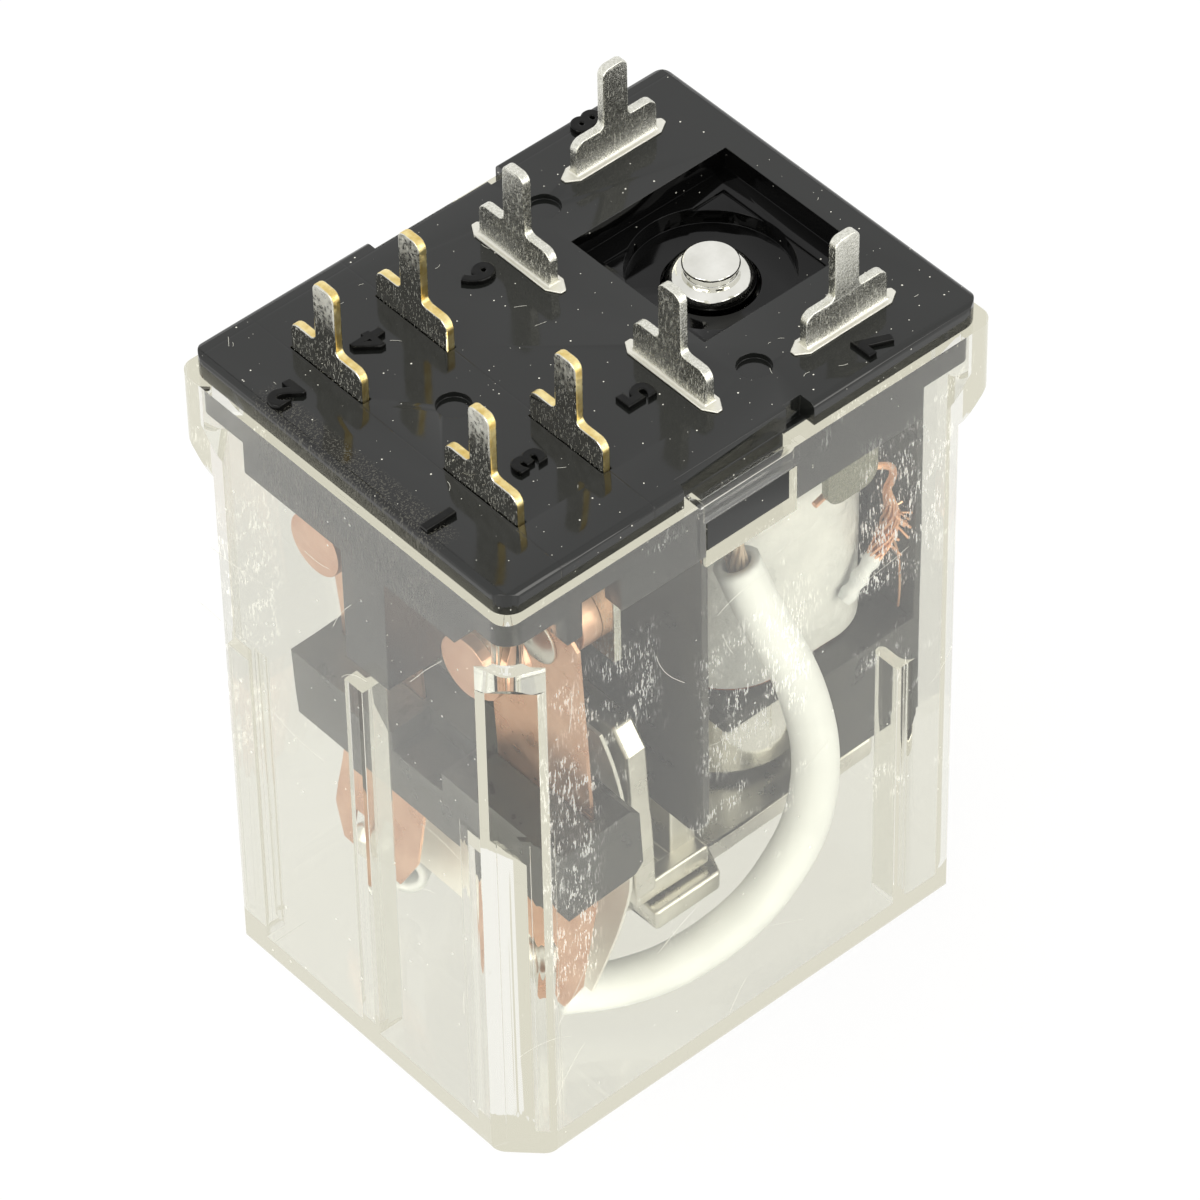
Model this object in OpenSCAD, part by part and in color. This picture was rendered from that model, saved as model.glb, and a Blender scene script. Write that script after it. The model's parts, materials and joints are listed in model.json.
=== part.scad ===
// Power relay with a clear cover, two changeover poles and flat board terminals.
// It stands on the closed end of its cover, terminals up. +X runs from the contact
// end to the coil end, and the poles lie side by side at -Y (near) and +Y (far).

/* [Cover] */
// Outside length of the cover, contact end to coil end
cover_l = 28; // [26.5:0.1:32]
// Outside width of the cover
cover_w = 21.4; // [21.4:0.1:25]
// Height of the cover from its closed face to its rim
cover_h = 34.8; // [34:0.1:40]
// Wall thickness of the cover
cover_wall = 0.9; // [0.6:0.05:0.95]
// Thickness of the closed end
cover_floor = 1; // [0.6:0.1:1.8]
// Rounding along the edges of the closed end
cover_edge_r = 0.5; // [0.2:0.05:0.6]
// Leg of the flat cut on the four upright corners
corner_cut = 2.1; // [1.6:0.1:2.6]
// Corner rounding of the square collar at the rim
collar_r = 0.8; // [0.3:0.1:1.2]
// Depth of the collar below the rim
collar_h = 3.4; // [2.8:0.1:3.8]
// Height of the curved shoulder under each collar corner
collar_blend = 1.6; // [1:0.1:2]
// Thickness of the cover's inner ribs
rib_t = 0.6; // [0.4:0.05:0.9]
// How far the ribs stand off the wall
rib_out = 1.6; // [1:0.05:1.8]
// Width of the pad beside the rib at the contact end
pad_w = 0.6; // [0.4:0.05:0.9]
// How far that pad stands off the wall
pad_out = 0.7; // [0.4:0.05:0.9]
// Height of the corner posts at the contact end
post_h = 20; // [14:0.5:22]
// Width of a corner post along the contact end's wall
post_w = 2.4; // [1.8:0.1:2.8]
// How far a corner post stands off that wall
post_out = 1.1; // [0.8:0.05:1.4]
// Drop of the slope on a corner post's top
post_slope = 1.5; // [1:0.1:2]
// Height of the ribs on the long walls
side_rib_h = 15.4; // [12:0.1:17]

/* [Base] */
// Thickness of the plate that lies on the rim
plate_t = 1.2; // [0.9:0.1:1.8]
// How far the plate's edge stays inside the cover's outline
plate_inset = 0.4; // [0.2:0.05:0.6]
// Corner rounding of the plate
plate_r = 1; // [0.6:0.1:1.6]
// Rounding along the plate's upper edges
plate_edge_r = 0.3; // [0.15:0.05:0.4]
// Thickness of the base's floor, plate included
base_t = 2.6; // [2.2:0.1:2.8]
// Depth of the skirt below the rim
skirt_h = 3.8; // [3.4:0.1:4.4]
// Wall thickness of the skirt
skirt_wall = 1.1; // [0.8:0.1:1.2]
// Width of the notch in the skirt beside each break contact
skirt_notch_w = 2.2; // [1.6:0.1:2.6]
// Height of that notch
skirt_notch_h = 2; // [1:0.1:2.2]
// Distance from the break row to that notch, towards the contact end
skirt_notch_back = 2.9; // [2.6:0.1:3]
// Clearance between the skirt and the cover
skirt_gap = 0.1; // [0.05:0.05:0.2]
// Width of the barrier between the poles
barrier_w = 2.8; // [2:0.1:3.2]
// Depth of the barrier below the rim
barrier_drop = 11.4; // [9:0.1:13]

/* [Latch] */
// Width of the latch window in each long wall
window_w = 5.2; // [4:0.1:6]
// Height of the latch window
window_h = 2.6; // [2:0.1:2.8]
// Width of the clear bar above the window
window_bar = 1.2; // [0.9:0.05:1.4]
// Clearance round the lug in its window
lug_gap = 0.25; // [0.1:0.05:0.5]
// How far the lug reaches into the window
lug_out = 0.6; // [0.3:0.05:0.8]
// Width of the recess in the plate above the latch
recess_w = 6.9; // [6.2:0.1:7.6]
// Depth of that recess
recess_depth = 0.65; // [0.4:0.05:0.8]
// Length of the deeper notch at the recess's coil end
notch_l = 0.5; // [0.3:0.05:0.7]
// How much deeper that notch is
notch_depth = 0.25; // [0.1:0.05:0.4]
// Flat land left on the rim above the window
lead_in_land = 0.25; // [0.15:0.05:0.4]
// Depth of the lead-in slope inside that land
lead_in_drop = 0.7; // [0.4:0.05:0.9]

/* [Terminals] */
// Thickness of a terminal
blade_t = 0.45; // [0.4:0.05:0.6]
// Width of the narrow blade that goes through the board
blade_w = 1.4; // [1.2:0.1:2]
// Length of a contact terminal above the base
contact_blade_len = 5; // [4:0.1:7]
// Length of a wire terminal above the base
wire_blade_len = 5.2; // [4:0.1:7]
// Rounding of the blade's tip
tip_r = 0.45; // [0.3:0.05:0.55]
// Width of the shoulder that the board rests on
shoulder_w = 4.7; // [4.4:0.1:5.2]
// Height of a contact terminal's shoulder
contact_shoulder_h = 1.6; // [1:0.1:2]
// Height of a wire terminal's shoulder
wire_shoulder_h = 1.9; // [1.2:0.1:2.2]
// Rounding where the blade meets its shoulder
neck_r = 0.3; // [0.2:0.05:0.4]
// Rounding of the shoulder's outer corners
shoulder_r = 0.55; // [0.3:0.05:0.7]
// Clearance of a terminal in its slot
slot_gap = 0.03; // [0.02:0.01:0.06]
// Height and width of the solder bead at a wire terminal's foot
bead = 0.3; // [0.2:0.05:0.4]
// Thickness of the bead's flat edge
bead_t = 0.12; // [0.08:0.02:0.2]
// How far the bead runs past the shoulder's ends
bead_end = 0.6; // [0.4:0.05:0.8]
// Distance between the two poles' terminals
pole_pitch = 10; // [9.8:0.1:10.6]
// Distance between the two coil terminals
coil_pitch = 14.8; // [14.6:0.1:15.2]
// Distance from the make row to the break row
make_to_break = 4.75; // [4.5:0.05:5]
// Distance from the break row to the common row
break_to_common = 5.85; // [5.6:0.05:6.2]
// Distance from the common row to the coil row
common_to_coil = 7.6; // [7.4:0.1:8]
// Width of a coil terminal's inner leg
coil_leg_w = 3; // [2.4:0.1:3.4]
// Rounding of that leg's end
coil_leg_r = 0.9; // [0.5:0.1:1.2]

/* [Contacts] */
// Depth of the contacts' centres below the rim
contact_drop = 8.2; // [7.6:0.1:8.8]
// Diameter of a contact's head
contact_d = 3.2; // [2.6:0.1:3.6]
// Thickness of a make contact's head
make_head = 0.5; // [0.3:0.05:0.6]
// Thickness of a break contact's head
break_head = 1.2; // [1:0.05:1.3]
// Thickness of a rivet's closed end
rivet_tail = 0.6; // [0.3:0.05:0.8]
// Diameter of a contact's shank
shank_d = 1.6; // [1.2:0.1:2]
// Width of the make terminal's inner leg
make_leg_w = 2.8; // [2.4:0.1:3.2]

/* [Magnet] */
// Distance from the core's axis to the cover's inner face at the coil end
core_to_end = 5.95; // [5.6:0.05:6.2]
// Distance from the common row to the core's axis
common_to_core = 6.65; // [6.5:0.05:6.9]
// Diameter of the core's pole
pole_d = 8; // [6:0.1:8.6]
// Gap between the pole and the armature at rest
pole_gap = 0.65; // [0.6:0.05:0.9]
// Diameter of the core inside the bobbin
core_d = 5.2; // [4:0.1:5.6]
// Diameter of the core's riveted collar
collar_d = 4; // [3.4:0.1:4.4]
// Diameter of the stud on the collar
stud_d = 2.6; // [2:0.1:3]
// Diameter of the stud's neck
neck_d = 2.4; // [1.8:0.1:2.6]
// Depth of the collar's top below the base's top face
collar_drop = 1.35; // [1.1:0.05:1.5]
// Depth of the stud's top below the base's top face
stud_drop = 0.8; // [0.5:0.05:1]
// Rounding of the collar's edge
head_r = 0.6; // [0.3:0.05:0.8]
// Thickness of the yoke
yoke_t = 1.6; // [1.2:0.1:1.8]
// Width of the yoke
yoke_w = 11.2; // [9:0.1:11.4]
// Height of the winding's lower end above the hinge edge
coil_lift = 8.15; // [7.8:0.05:8.6]
// Width of the winding across the relay
coil_w = 11; // [10:0.1:11.2]
// Length of the winding along the relay
coil_l = 9.6; // [9:0.1:9.7]
// Corner rounding of the winding
coil_r = 3; // [2:0.1:3.4]
// Thickness of the tape round the winding
tape_t = 0.15; // [0.1:0.05:0.2]
// Thickness of the bobbin's flanges
flange_t = 1.1; // [0.8:0.1:1.3]
// Width of the barrier in front of the yoke
wing_w = 17; // [15:0.1:17.4]
// Thickness of that barrier
wing_t = 0.4; // [0.3:0.05:0.5]

/* [Armature] */
// Thickness of the armature
armature_t = 1.2; // [1:0.05:1.4]
// Width of the armature at its hinge
armature_w = 14; // [12:0.1:14.2]
// Width of the armature under the pole
pole_plate_w = 11; // [9:0.1:11.6]
// Length of the wide part from the hinge towards the coil
wide_len = 1.8; // [1:0.1:2.4]
// Distance from the hinge edge to the back of the upright leg
leg_back = 1.9; // [1.8:0.1:2.4]
// Height of the upright leg above the hinge edge
leg_h = 12.5; // [12:0.1:14.5]
// Lean of the upright leg and its springs at rest, in degrees
lean = 3; // [2:0.1:3.2]
// Depth of the hinge edge below the rim
hinge_drop = 27.9; // [27:0.1:28.6]
// Clearance at the hinge edge
hinge_gap = 0.05; // [0.03:0.01:0.1]
// Length of the carrier across both poles
carrier_w = 17.2; // [15:0.1:17.6]
// Thickness of the carrier, contact end to coil end
carrier_l = 4.4; // [3.6:0.1:4.8]
// Height of the carrier
carrier_h = 4.2; // [3.6:0.1:4.8]
// Height of the carrier's underside above the hinge edge
carrier_lift = 5.9; // [5.4:0.1:6.6]
// Width of the boss that spaces the carrier from the armature's leg
boss_w = 6; // [5:0.1:7]
// Height of that boss
boss_h = 2.2; // [1.8:0.1:2.4]
// Diameter of the two pegs that hold the carrier in the leg
peg_d = 1.4; // [1:0.1:1.6]
// Width of a moving spring
spring_w = 5.6; // [4.6:0.1:5.8]
// Thickness of a moving spring
spring_t = 0.2; // [0.15:0.05:0.25]
// Length of a moving spring's tail below its carrier
tail_len = 7.4; // [5.5:0.1:7.6]
// Outward slant of the tail, in degrees
tail_slant = 14; // [8:1:16]
// Thickness of the moving contact on the break side
moving_head = 1; // [0.8:0.05:1.05]
// Thickness of the moving contact on the make side
moving_back = 0.4; // [0.25:0.05:0.5]
// Gap between the closed contacts' faces at rest
closed_gap = 0.04; // [0.02:0.01:0.08]
// Thickness of the return spring
leaf_t = 0.2; // [0.15:0.05:0.25]
// How far the return spring's edges stay inside the armature's
leaf_inset = 0.2; // [0.1:0.05:1]
// Height of the return spring above the hinge edge
leaf_h = 13.6; // [13:0.1:15]
// Depth of the return spring below the hinge edge
leaf_drop = 2.4; // [2.2:0.1:3.4]
// Height above the hinge edge where the return spring starts to bow out
leaf_bow = 3.1; // [2.6:0.1:3.6]

/* [Leads] */
// Outside diameter of a lead's sleeve
sleeve_d = 2.2; // [1.8:0.1:2.3]
// Diameter of the stranded wire in the sleeve
wire_d = 1.2; // [0.8:0.1:1.4]
// Diameter of a coil lead
coil_lead_d = 0.9; // [0.6:0.1:1.1]
// Depth of a coil lead's lower end below the contacts
coil_lead_drop = 8.4; // [7:0.1:9]

/* [Hidden] */
$fn = 40;
near = -1;
far = 1;
eps = 0.01;
cut = 1;

half_l = cover_l / 2;
half_w = cover_w / 2;
inner_x = half_l - cover_wall;
inner_y = half_w - cover_wall;
rim_z = cover_h;
top_z = rim_z + plate_t;
floor_z = top_z - base_t;
skirt_x = inner_x - skirt_gap;
skirt_y = inner_y - skirt_gap;
skirt_z = rim_z - skirt_h;
collar_z = rim_z - collar_h;

core_x = inner_x - core_to_end;
common_x = core_x - common_to_core;
break_x = common_x - break_to_common;
make_x = break_x - make_to_break;
coil_pin_x = common_x + common_to_coil;
pole_y = pole_pitch / 2;
coil_pin_y = coil_pitch / 2;
coil_leg_past = 0.4;
coil_leg = top_z - rim_z + contact_drop + coil_leg_past;
contact_z = rim_z - contact_drop;

window_x = -0.2;
window_top = rim_z - window_bar;
barrier_z = rim_z - barrier_drop;
barrier_seat = 0.2;
side_rib_x = core_x + 2;

stack_gap = 0.1;
flange_top = skirt_z - stack_gap;
yoke_bottom = flange_top;
yoke_top = yoke_bottom + yoke_t;
yoke_back = 1.5;
yoke_x = common_x - yoke_back;
hinge_z = rim_z - hinge_drop;
plate_top = hinge_z - hinge_gap;
plate_bottom = plate_top - armature_t;
plate_past = 1.4;
plate_end = core_x + pole_d / 2 + plate_past;

coil_top = flange_top - flange_t;
coil_bottom = hinge_z + coil_lift;
pole_top = coil_bottom - flange_t;
pole_bottom = plate_top + pole_gap;
bobbin_gap = 0.2;
bobbin_end = inner_x - bobbin_gap;
tube_wall = 0.7;
tube_d = core_d + 2 * tube_wall;
skirt_drop = 6;
wing_gap = 0.2;
wing_x = yoke_x - wing_gap;

break_face = break_x - blade_t / 2 - break_head;
spring_rest = break_face - closed_gap - moving_head - spring_t / 2;
bend_x = yoke_x - leg_back;
bend_z = plate_top;
leg_x = bend_x - armature_t;
leaf_w = armature_w - 2 * leaf_inset;
foot_notch = 1.6;
leg_foot = armature_w / 2 - foot_notch;

// Places on the leaning parts, measured as if they stood upright over the bend
spring_x = bend_x + (spring_rest - bend_x) * cos(lean) + (contact_z - bend_z) * sin(lean);
moving_z = bend_z - (spring_rest - bend_x) * sin(lean) + (contact_z - bend_z) * cos(lean);
spring_rim = 0.2;
spring_top = moving_z + contact_d / 2 + spring_rim;
carrier_bottom = hinge_z + carrier_lift;
carrier_top = carrier_bottom + carrier_h;
boss_z = carrier_bottom + 1;
knee_drop = 0.5;
knee_z = carrier_bottom - knee_drop;
tail_low = knee_z - tail_len * cos(tail_slant);
slit_w = 2;
slit_h = 2.6;

module rounded_rect(l, w, r) {
    square([l - 2 * r, w], center = true);
    square([l, w - 2 * r], center = true);
    for (sx = [-1, 1], sy = [-1, 1])
        translate([sx * (l / 2 - r), sy * (w / 2 - r)])
            circle(r);
}

// Outline of a tub seen from its side, with its two lower corners rounded
module tub_side(l, h, r) {
    translate([-l / 2, r])
        square([l, h - r]);
    translate([-(l / 2 - r), 0])
        square([l - 2 * r, h]);
    for (s = [-1, 1])
        translate([s * (l / 2 - r), r])
            circle(r);
}

// A block with upright corners of one radius and lower edges of another
module tub(l, w, h, corner_r, edge_r) {
    intersection() {
        linear_extrude(h)
            rounded_rect(l, w, corner_r);
        rotate([90, 0, 90])
            linear_extrude(l + cut, center = true)
                tub_side(w, h, edge_r);
        rotate([90, 0, 0])
            linear_extrude(w + cut, center = true)
                tub_side(l, h, edge_r);
    }
}

// The flat cuts on four upright corners, each ending in a curved shoulder
module corner_cuts(l, w, leg, low, rise) {
    depth = leg / sqrt(2);
    reach = depth + cut;
    run_out = 0.3;
    profile = concat(
        [[reach, -cut], [-depth, -cut]],
        [for (i = [0 : 10])
            let (t = i / 10)
            [-depth + (depth + run_out) * t, low + rise * (1 - cos(180 * t)) / 2]],
        [[reach, low + rise]]);
    for (sx = [-1, 1], sy = [-1, 1])
        translate([sx * l / 2, sy * w / 2, 0])
            rotate([0, 0, atan2(sy, sx)])
                rotate([90, 0, 0])
                    linear_extrude(6 * leg, center = true)
                        polygon(profile);
}

// The rib under the barrier, with a pad on its far side, on the contact end's wall
module end_rib() {
    bevel = rib_t / 2;
    translate([-inner_x, 0, cover_floor - eps])
        linear_extrude(barrier_z - barrier_seat - cover_floor)
            polygon([[-eps, -rib_t], [rib_out - bevel, -rib_t], [rib_out, -rib_t + bevel], [pad_out, 0],
                     [pad_out, pad_w], [-eps, pad_w]]);
}

// A rib with a round edge and a flared root, on a long wall
module side_rib(sy) {
    edge_r = rib_t / 2;
    flare = rib_t;
    mirror([0, sy > 0 ? 1 : 0, 0])
        translate([side_rib_x, -inner_y, cover_floor - eps])
            linear_extrude(side_rib_h) {
                translate([-edge_r, -eps])
                    square([rib_t, rib_out - edge_r + eps]);
                translate([0, rib_out - edge_r])
                    circle(edge_r);
                difference() {
                    translate([0, -eps])
                        square([edge_r + flare, flare]);
                    translate([edge_r + flare, flare])
                        circle(flare);
                }
            }
}

module corner_post(sy) {
    mirror([0, sy > 0 ? 1 : 0, 0])
        translate([-inner_x, -inner_y - eps, cover_floor - eps])
            rotate([90, 0, 0])
                mirror([0, 0, 1])
                    linear_extrude(post_w + eps)
                        polygon([[-eps, 0], [post_out, 0], [post_out, post_h - cover_floor - post_slope],
                                 [-eps, post_h - cover_floor]]);
}

module cover_cavity() {
    cavity_r = 0.4;
    difference() {
        translate([0, 0, cover_floor])
            linear_extrude(cover_h)
                rounded_rect(2 * inner_x, 2 * inner_y, cavity_r);
        corner_cuts(2 * inner_x, 2 * inner_y, corner_cut - (2 - sqrt(2)) * cover_wall,
                    collar_z - collar_blend + cover_wall, collar_blend);
    }
}

module cover() {
    color([0.9, 0.9, 0.86, 0.3])
        difference() {
            tub(cover_l, cover_w, cover_h, collar_r, cover_edge_r);
            corner_cuts(cover_l, cover_w, corner_cut, collar_z - collar_blend, collar_blend);
            difference() {
                cover_cavity();
                end_rib();
                for (sy = [near, far]) {
                    corner_post(sy);
                    side_rib(sy);
                }
            }
            for (sy = [near, far])
                translate([window_x, sy * (half_w - cover_wall / 2), window_top - window_h / 2])
                    cube([window_w, cover_wall + cut, window_h], center = true);
            for (sy = [near, far])
                lead_in(sy);
        }
}

// The slope on the inner side of the bar above a latch window
module lead_in(sy) {
    inside = cover_wall + eps;
    mirror([0, sy > 0 ? 1 : 0, 0])
        translate([window_x, -half_w, rim_z])
            rotate([90, 0, 90])
                linear_extrude(window_w, center = true)
                    polygon([[lead_in_land, 0], [lead_in_land, cut], [inside, cut], [inside, -lead_in_drop]]);
}

// A slot in the base for a terminal that is wide along Y
module terminal_slot(x, y, turn) {
    translate([x, y, floor_z + base_t / 2])
        rotate([0, 0, turn])
            cube([blade_t + 2 * slot_gap, shoulder_w + 2 * slot_gap, base_t + cut], center = true);
}

module latch_lug(sy) {
    lug_h = window_h - 2 * lug_gap;
    ramp_h = lug_h * 0.6;
    mirror([0, sy > 0 ? 1 : 0, 0])
        translate([window_x, -skirt_y, window_top - lug_gap - lug_h])
            rotate([90, 0, 90])
                linear_extrude(window_w - 2 * lug_gap, center = true)
                    polygon([[eps, 0], [-skirt_gap - lug_out / 3, 0], [-skirt_gap - lug_out, ramp_h],
                             [-skirt_gap - lug_out, lug_h], [eps, lug_h]]);
}

// The open-topped well round the core's riveted end
module core_well() {
    well_l = 9;
    well_w = 8.6;
    step_in = 1;
    step_depth = 0.15;
    ring_d = 7.6;
    ring_floor = 0.5;
    bore_gap = 0.2;
    well_shift = 0.25;
    translate([core_x + well_shift, 0, top_z - plate_t]) {
        linear_extrude(plate_t + cut)
            square([well_l, well_w], center = true);
        translate([0, 0, -step_depth])
            linear_extrude(step_depth + cut)
                square([well_l - 2 * step_in, well_w - 2 * step_in], center = true);
    }
    translate([core_x, 0, floor_z + ring_floor])
        cylinder(d = ring_d, h = base_t);
    translate([core_x, 0, floor_z - cut])
        cylinder(d = collar_d + 2 * bore_gap, h = base_t + cut);
}

module base_body() {
    skirt_r = 0.5;
    corner_l = corner_cut + 0.7;
    corner_h = cover_wall + 0.9;
    barrier_inset = 0.7;
    barrier_past = 2;
    translate([0, 0, top_z])
        mirror([0, 0, 1])
            tub(cover_l - 2 * plate_inset, cover_w - 2 * plate_inset, plate_t, plate_r, plate_edge_r);
    difference() {
        translate([0, 0, skirt_z])
            linear_extrude(skirt_h + plate_t / 2)
                rounded_rect(2 * skirt_x, 2 * skirt_y, skirt_r);
        translate([0, 0, skirt_z - cut])
            linear_extrude(floor_z - skirt_z + cut)
                square([2 * (skirt_x - skirt_wall), 2 * (skirt_y - skirt_wall)], center = true);
        for (sx = [-1, 1], sy = [-1, 1])
            translate([sx * skirt_x, sy * skirt_y, skirt_z])
                cube([2 * corner_l, 2 * corner_l, 2 * corner_h], center = true);
        for (sy = [near, far])
            translate([break_x - skirt_notch_back, sy * skirt_y, skirt_z])
                cube([skirt_notch_w, 2 * skirt_wall + cut, 2 * skirt_notch_h], center = true);
    }
    barrier_from = barrier_inset - skirt_x;
    translate([barrier_from, -barrier_w / 2, barrier_z])
        cube([break_x + barrier_past - barrier_from, barrier_w, floor_z - barrier_z + eps]);
    for (sy = [near, far])
        latch_lug(sy);
}

module base() {
    mark_d = 1.6;
    mark_depth = 0.3;
    side_mark_x = common_x + 3;
    side_mark_y = pole_y + 1.8;
    middle_mark_x = make_x + 2.6;
    color([0.1, 0.1, 0.1])
        difference() {
            base_body();
            core_well();
            for (sy = [near, far]) {
                translate([window_x, sy * (half_w - plate_inset), top_z])
                    cube([recess_w, 2 * recess_depth, 2 * plate_t], center = true);
                translate([window_x + recess_w / 2, sy * (half_w - plate_inset), top_z])
                    cube([2 * notch_l, 2 * (recess_depth + notch_depth), 2 * plate_t], center = true);
                for (x = [make_x, break_x, common_x])
                    terminal_slot(x, sy * pole_y, 0);
                terminal_slot(coil_pin_x, sy * coil_pin_y, 90);
                translate([side_mark_x, sy * side_mark_y, top_z - mark_depth])
                    cylinder(d = mark_d, h = cut);
            }
            translate([middle_mark_x, 0, top_z - mark_depth])
                cylinder(d = mark_d, h = cut);
        }
}

// Outline of the part of a terminal that shows above the base, in width and height
module blade_outline(blade_len, shoulder_h) {
    translate([-blade_w / 2, 0])
        square([blade_w, blade_len - tip_r]);
    translate([-(blade_w / 2 - tip_r), 0])
        square([blade_w - 2 * tip_r, blade_len]);
    for (s = [-1, 1])
        translate([s * (blade_w / 2 - tip_r), blade_len - tip_r])
            circle(tip_r);
    mirror([0, 1])
        translate([0, -shoulder_h])
            tub_side(shoulder_w, shoulder_h, shoulder_r);
    for (s = [-1, 1])
        difference() {
            translate([s * (blade_w + neck_r) / 2, shoulder_h + neck_r / 2])
                square([neck_r + 2 * eps, neck_r + 2 * eps], center = true);
            translate([s * (blade_w / 2 + neck_r), shoulder_h + neck_r])
                circle(neck_r);
        }
}

// A terminal wide along Y, its outline drawn with the base's top face at height 0
module upright(x, y) {
    translate([x, y, top_z])
        rotate([90, 0, 90])
            linear_extrude(blade_t, center = true)
                children();
}

module foot_outline(drop) {
    translate([-shoulder_w / 2, -drop])
        square([shoulder_w, drop + eps]);
}

// Solder at a terminal's foot: a thin flat edge with blunt points, drawn up along both faces
module foot_bead() {
    half_s = shoulder_w / 2;
    half_t = blade_t / 2;
    blunt = 0.15;
    linear_extrude(bead_t)
        polygon([[-half_t - bead, -half_s], [-blunt, -half_s - bead_end], [blunt, -half_s - bead_end],
                 [half_t + bead, -half_s], [half_t + bead, half_s], [blunt, half_s + bead_end],
                 [-blunt, half_s + bead_end], [-half_t - bead, half_s]]);
    rotate([90, 0, 0])
        linear_extrude(shoulder_w, center = true)
            polygon([[-half_t - bead / 2, 0], [half_t + bead / 2, 0], [half_t, bead], [-half_t, bead]]);
}

module make_terminal(side) {
    leg = top_z - contact_z;
    color([0.82, 0.78, 0.62])
        difference() {
            upright(make_x, side * pole_y) {
                blade_outline(contact_blade_len, contact_shoulder_h);
                foot_outline(base_t);
                translate([-make_leg_w / 2, -leg])
                    square([make_leg_w, leg]);
                translate([0, -leg])
                    circle(d = make_leg_w);
            }
            shank(make_x, side, slot_gap);
        }
}

module break_terminal(side) {
    color([0.82, 0.78, 0.62])
        difference() {
            upright(break_x, side * pole_y) {
                blade_outline(contact_blade_len, contact_shoulder_h);
                foot_outline(top_z - contact_z + contact_d / 2 + 0.1);
            }
            shank(break_x, side, slot_gap);
        }
}

module common_terminal(side) {
    tab_w = 0.9;
    tab_rise = 1.4;
    tab_drop = top_z - contact_z - tab_rise;
    foot_short = 0.3;
    color([0.8, 0.8, 0.76]) {
        upright(common_x, side * pole_y) {
            blade_outline(wire_blade_len, wire_shoulder_h);
            foot_outline(base_t - foot_short);
            translate([side > 0 ? shoulder_w / 2 - tab_w : -shoulder_w / 2, -tab_drop])
                square([tab_w, tab_drop]);
        }
        translate([common_x, side * pole_y, top_z])
            foot_bead();
    }
}

module coil_terminal(side) {
    color([0.8, 0.8, 0.76])
        translate([coil_pin_x, side * coil_pin_y, 0])
            rotate([0, 0, 90]) {
                upright(0, 0) {
                    blade_outline(wire_blade_len, wire_shoulder_h);
                    foot_outline(base_t);
                    translate([0, -coil_leg])
                        tub_side(coil_leg_w, coil_leg, coil_leg_r);
                }
                translate([0, 0, top_z])
                    foot_bead();
            }
}

// The round shank of a fixed contact, through its terminal
module shank(x, side, gap) {
    translate([x, side * pole_y, contact_z])
        rotate([0, 90, 0])
            cylinder(d = shank_d + 2 * gap, h = blade_t + (gap > 0 ? cut : 0), center = true);
}

// A contact rivet: its head on one side of the terminal, its closed end on the other
module contact_rivet(x, side, head, head_side) {
    edge = blade_t / 2;
    bevel_h = 0.15;
    bevel_w = 0.25;
    shank(x, side, 0);
    translate([x, side * pole_y, contact_z])
        rotate([0, 90 * head_side, 0]) {
            translate([0, 0, edge])
                cylinder(d = contact_d, h = head - bevel_h);
            translate([0, 0, edge + head - bevel_h])
                cylinder(d1 = contact_d, d2 = contact_d - 2 * bevel_w, h = bevel_h);
            translate([0, 0, -edge - rivet_tail])
                cylinder(d = contact_d, h = rivet_tail);
        }
}

module make_contact(side) {
    color([0.85, 0.6, 0.45])
        contact_rivet(make_x, side, make_head, 1);
}

module break_contact(side) {
    color([0.85, 0.6, 0.45])
        contact_rivet(break_x, side, break_head, -1);
}

module yoke() {
    ear_l = 2.7;
    ear_w = 0.9;
    ear_h = 1.1;
    ear_inset = 0.6;
    yoke_end = core_x + 4;
    ear_root = 0.1;
    ear_end = armature_w / 2 - ear_inset;
    ear_start = yoke_w / 2 - ear_root;
    relief = 0.2;
    color([0.62, 0.6, 0.52])
        difference() {
            union() {
                rotate([90, 0, 0])
                    linear_extrude(yoke_w, center = true)
                        polygon([[yoke_x, hinge_z], [yoke_x + yoke_t, hinge_z + relief],
                                 [yoke_x + yoke_t, yoke_bottom], [yoke_end, yoke_bottom],
                                 [yoke_end, yoke_top], [yoke_x, yoke_top]]);
                for (side = [0, 1])
                    mirror([0, side, 0])
                        translate([yoke_x, 0, hinge_z + relief]) {
                            translate([-ear_l, ear_end - ear_w, 0])
                                cube([ear_l + yoke_t, ear_w, ear_h]);
                            translate([0, ear_start, 0])
                                cube([yoke_t, ear_end - ear_start, ear_h]);
                        }
            }
            translate([core_x, 0, yoke_bottom - cut])
                cylinder(d = collar_d + 2 * slot_gap, h = yoke_t + 2 * cut);
        }
}

// Half outline of the core's riveted end: a collar with a rounded edge, and a stud on a neck
module rivet_outline() {
    half_d = collar_d / 2;
    collar_h = top_z - collar_drop - yoke_bottom;
    stud_h = top_z - stud_drop - yoke_bottom;
    rise = (stud_h - collar_h) / 3;
    bevel = 0.08;
    translate([0, -eps])
        square([half_d, collar_h - head_r + eps]);
    square([half_d - head_r, collar_h]);
    translate([half_d - head_r, collar_h - head_r])
        circle(head_r);
    polygon([[0, 0], [neck_d / 2, 0], [neck_d / 2, collar_h + rise], [stud_d / 2, collar_h + 2 * rise],
             [stud_d / 2, stud_h - bevel], [stud_d / 2 - bevel, stud_h], [0, stud_h]]);
}

module core() {
    color([0.75, 0.75, 0.72])
        translate([core_x, 0, 0]) {
            translate([0, 0, pole_bottom])
                cylinder(d = pole_d, h = pole_top - pole_bottom);
            translate([0, 0, pole_top - eps])
                cylinder(d = core_d, h = yoke_bottom - pole_top + eps);
            translate([0, 0, yoke_bottom])
                rotate_extrude()
                    rivet_outline();
        }
}

module coil_shape(grow) {
    translate([core_x, 0])
        rounded_rect(coil_l + 2 * grow, coil_w + 2 * grow, coil_r + grow);
}

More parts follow.
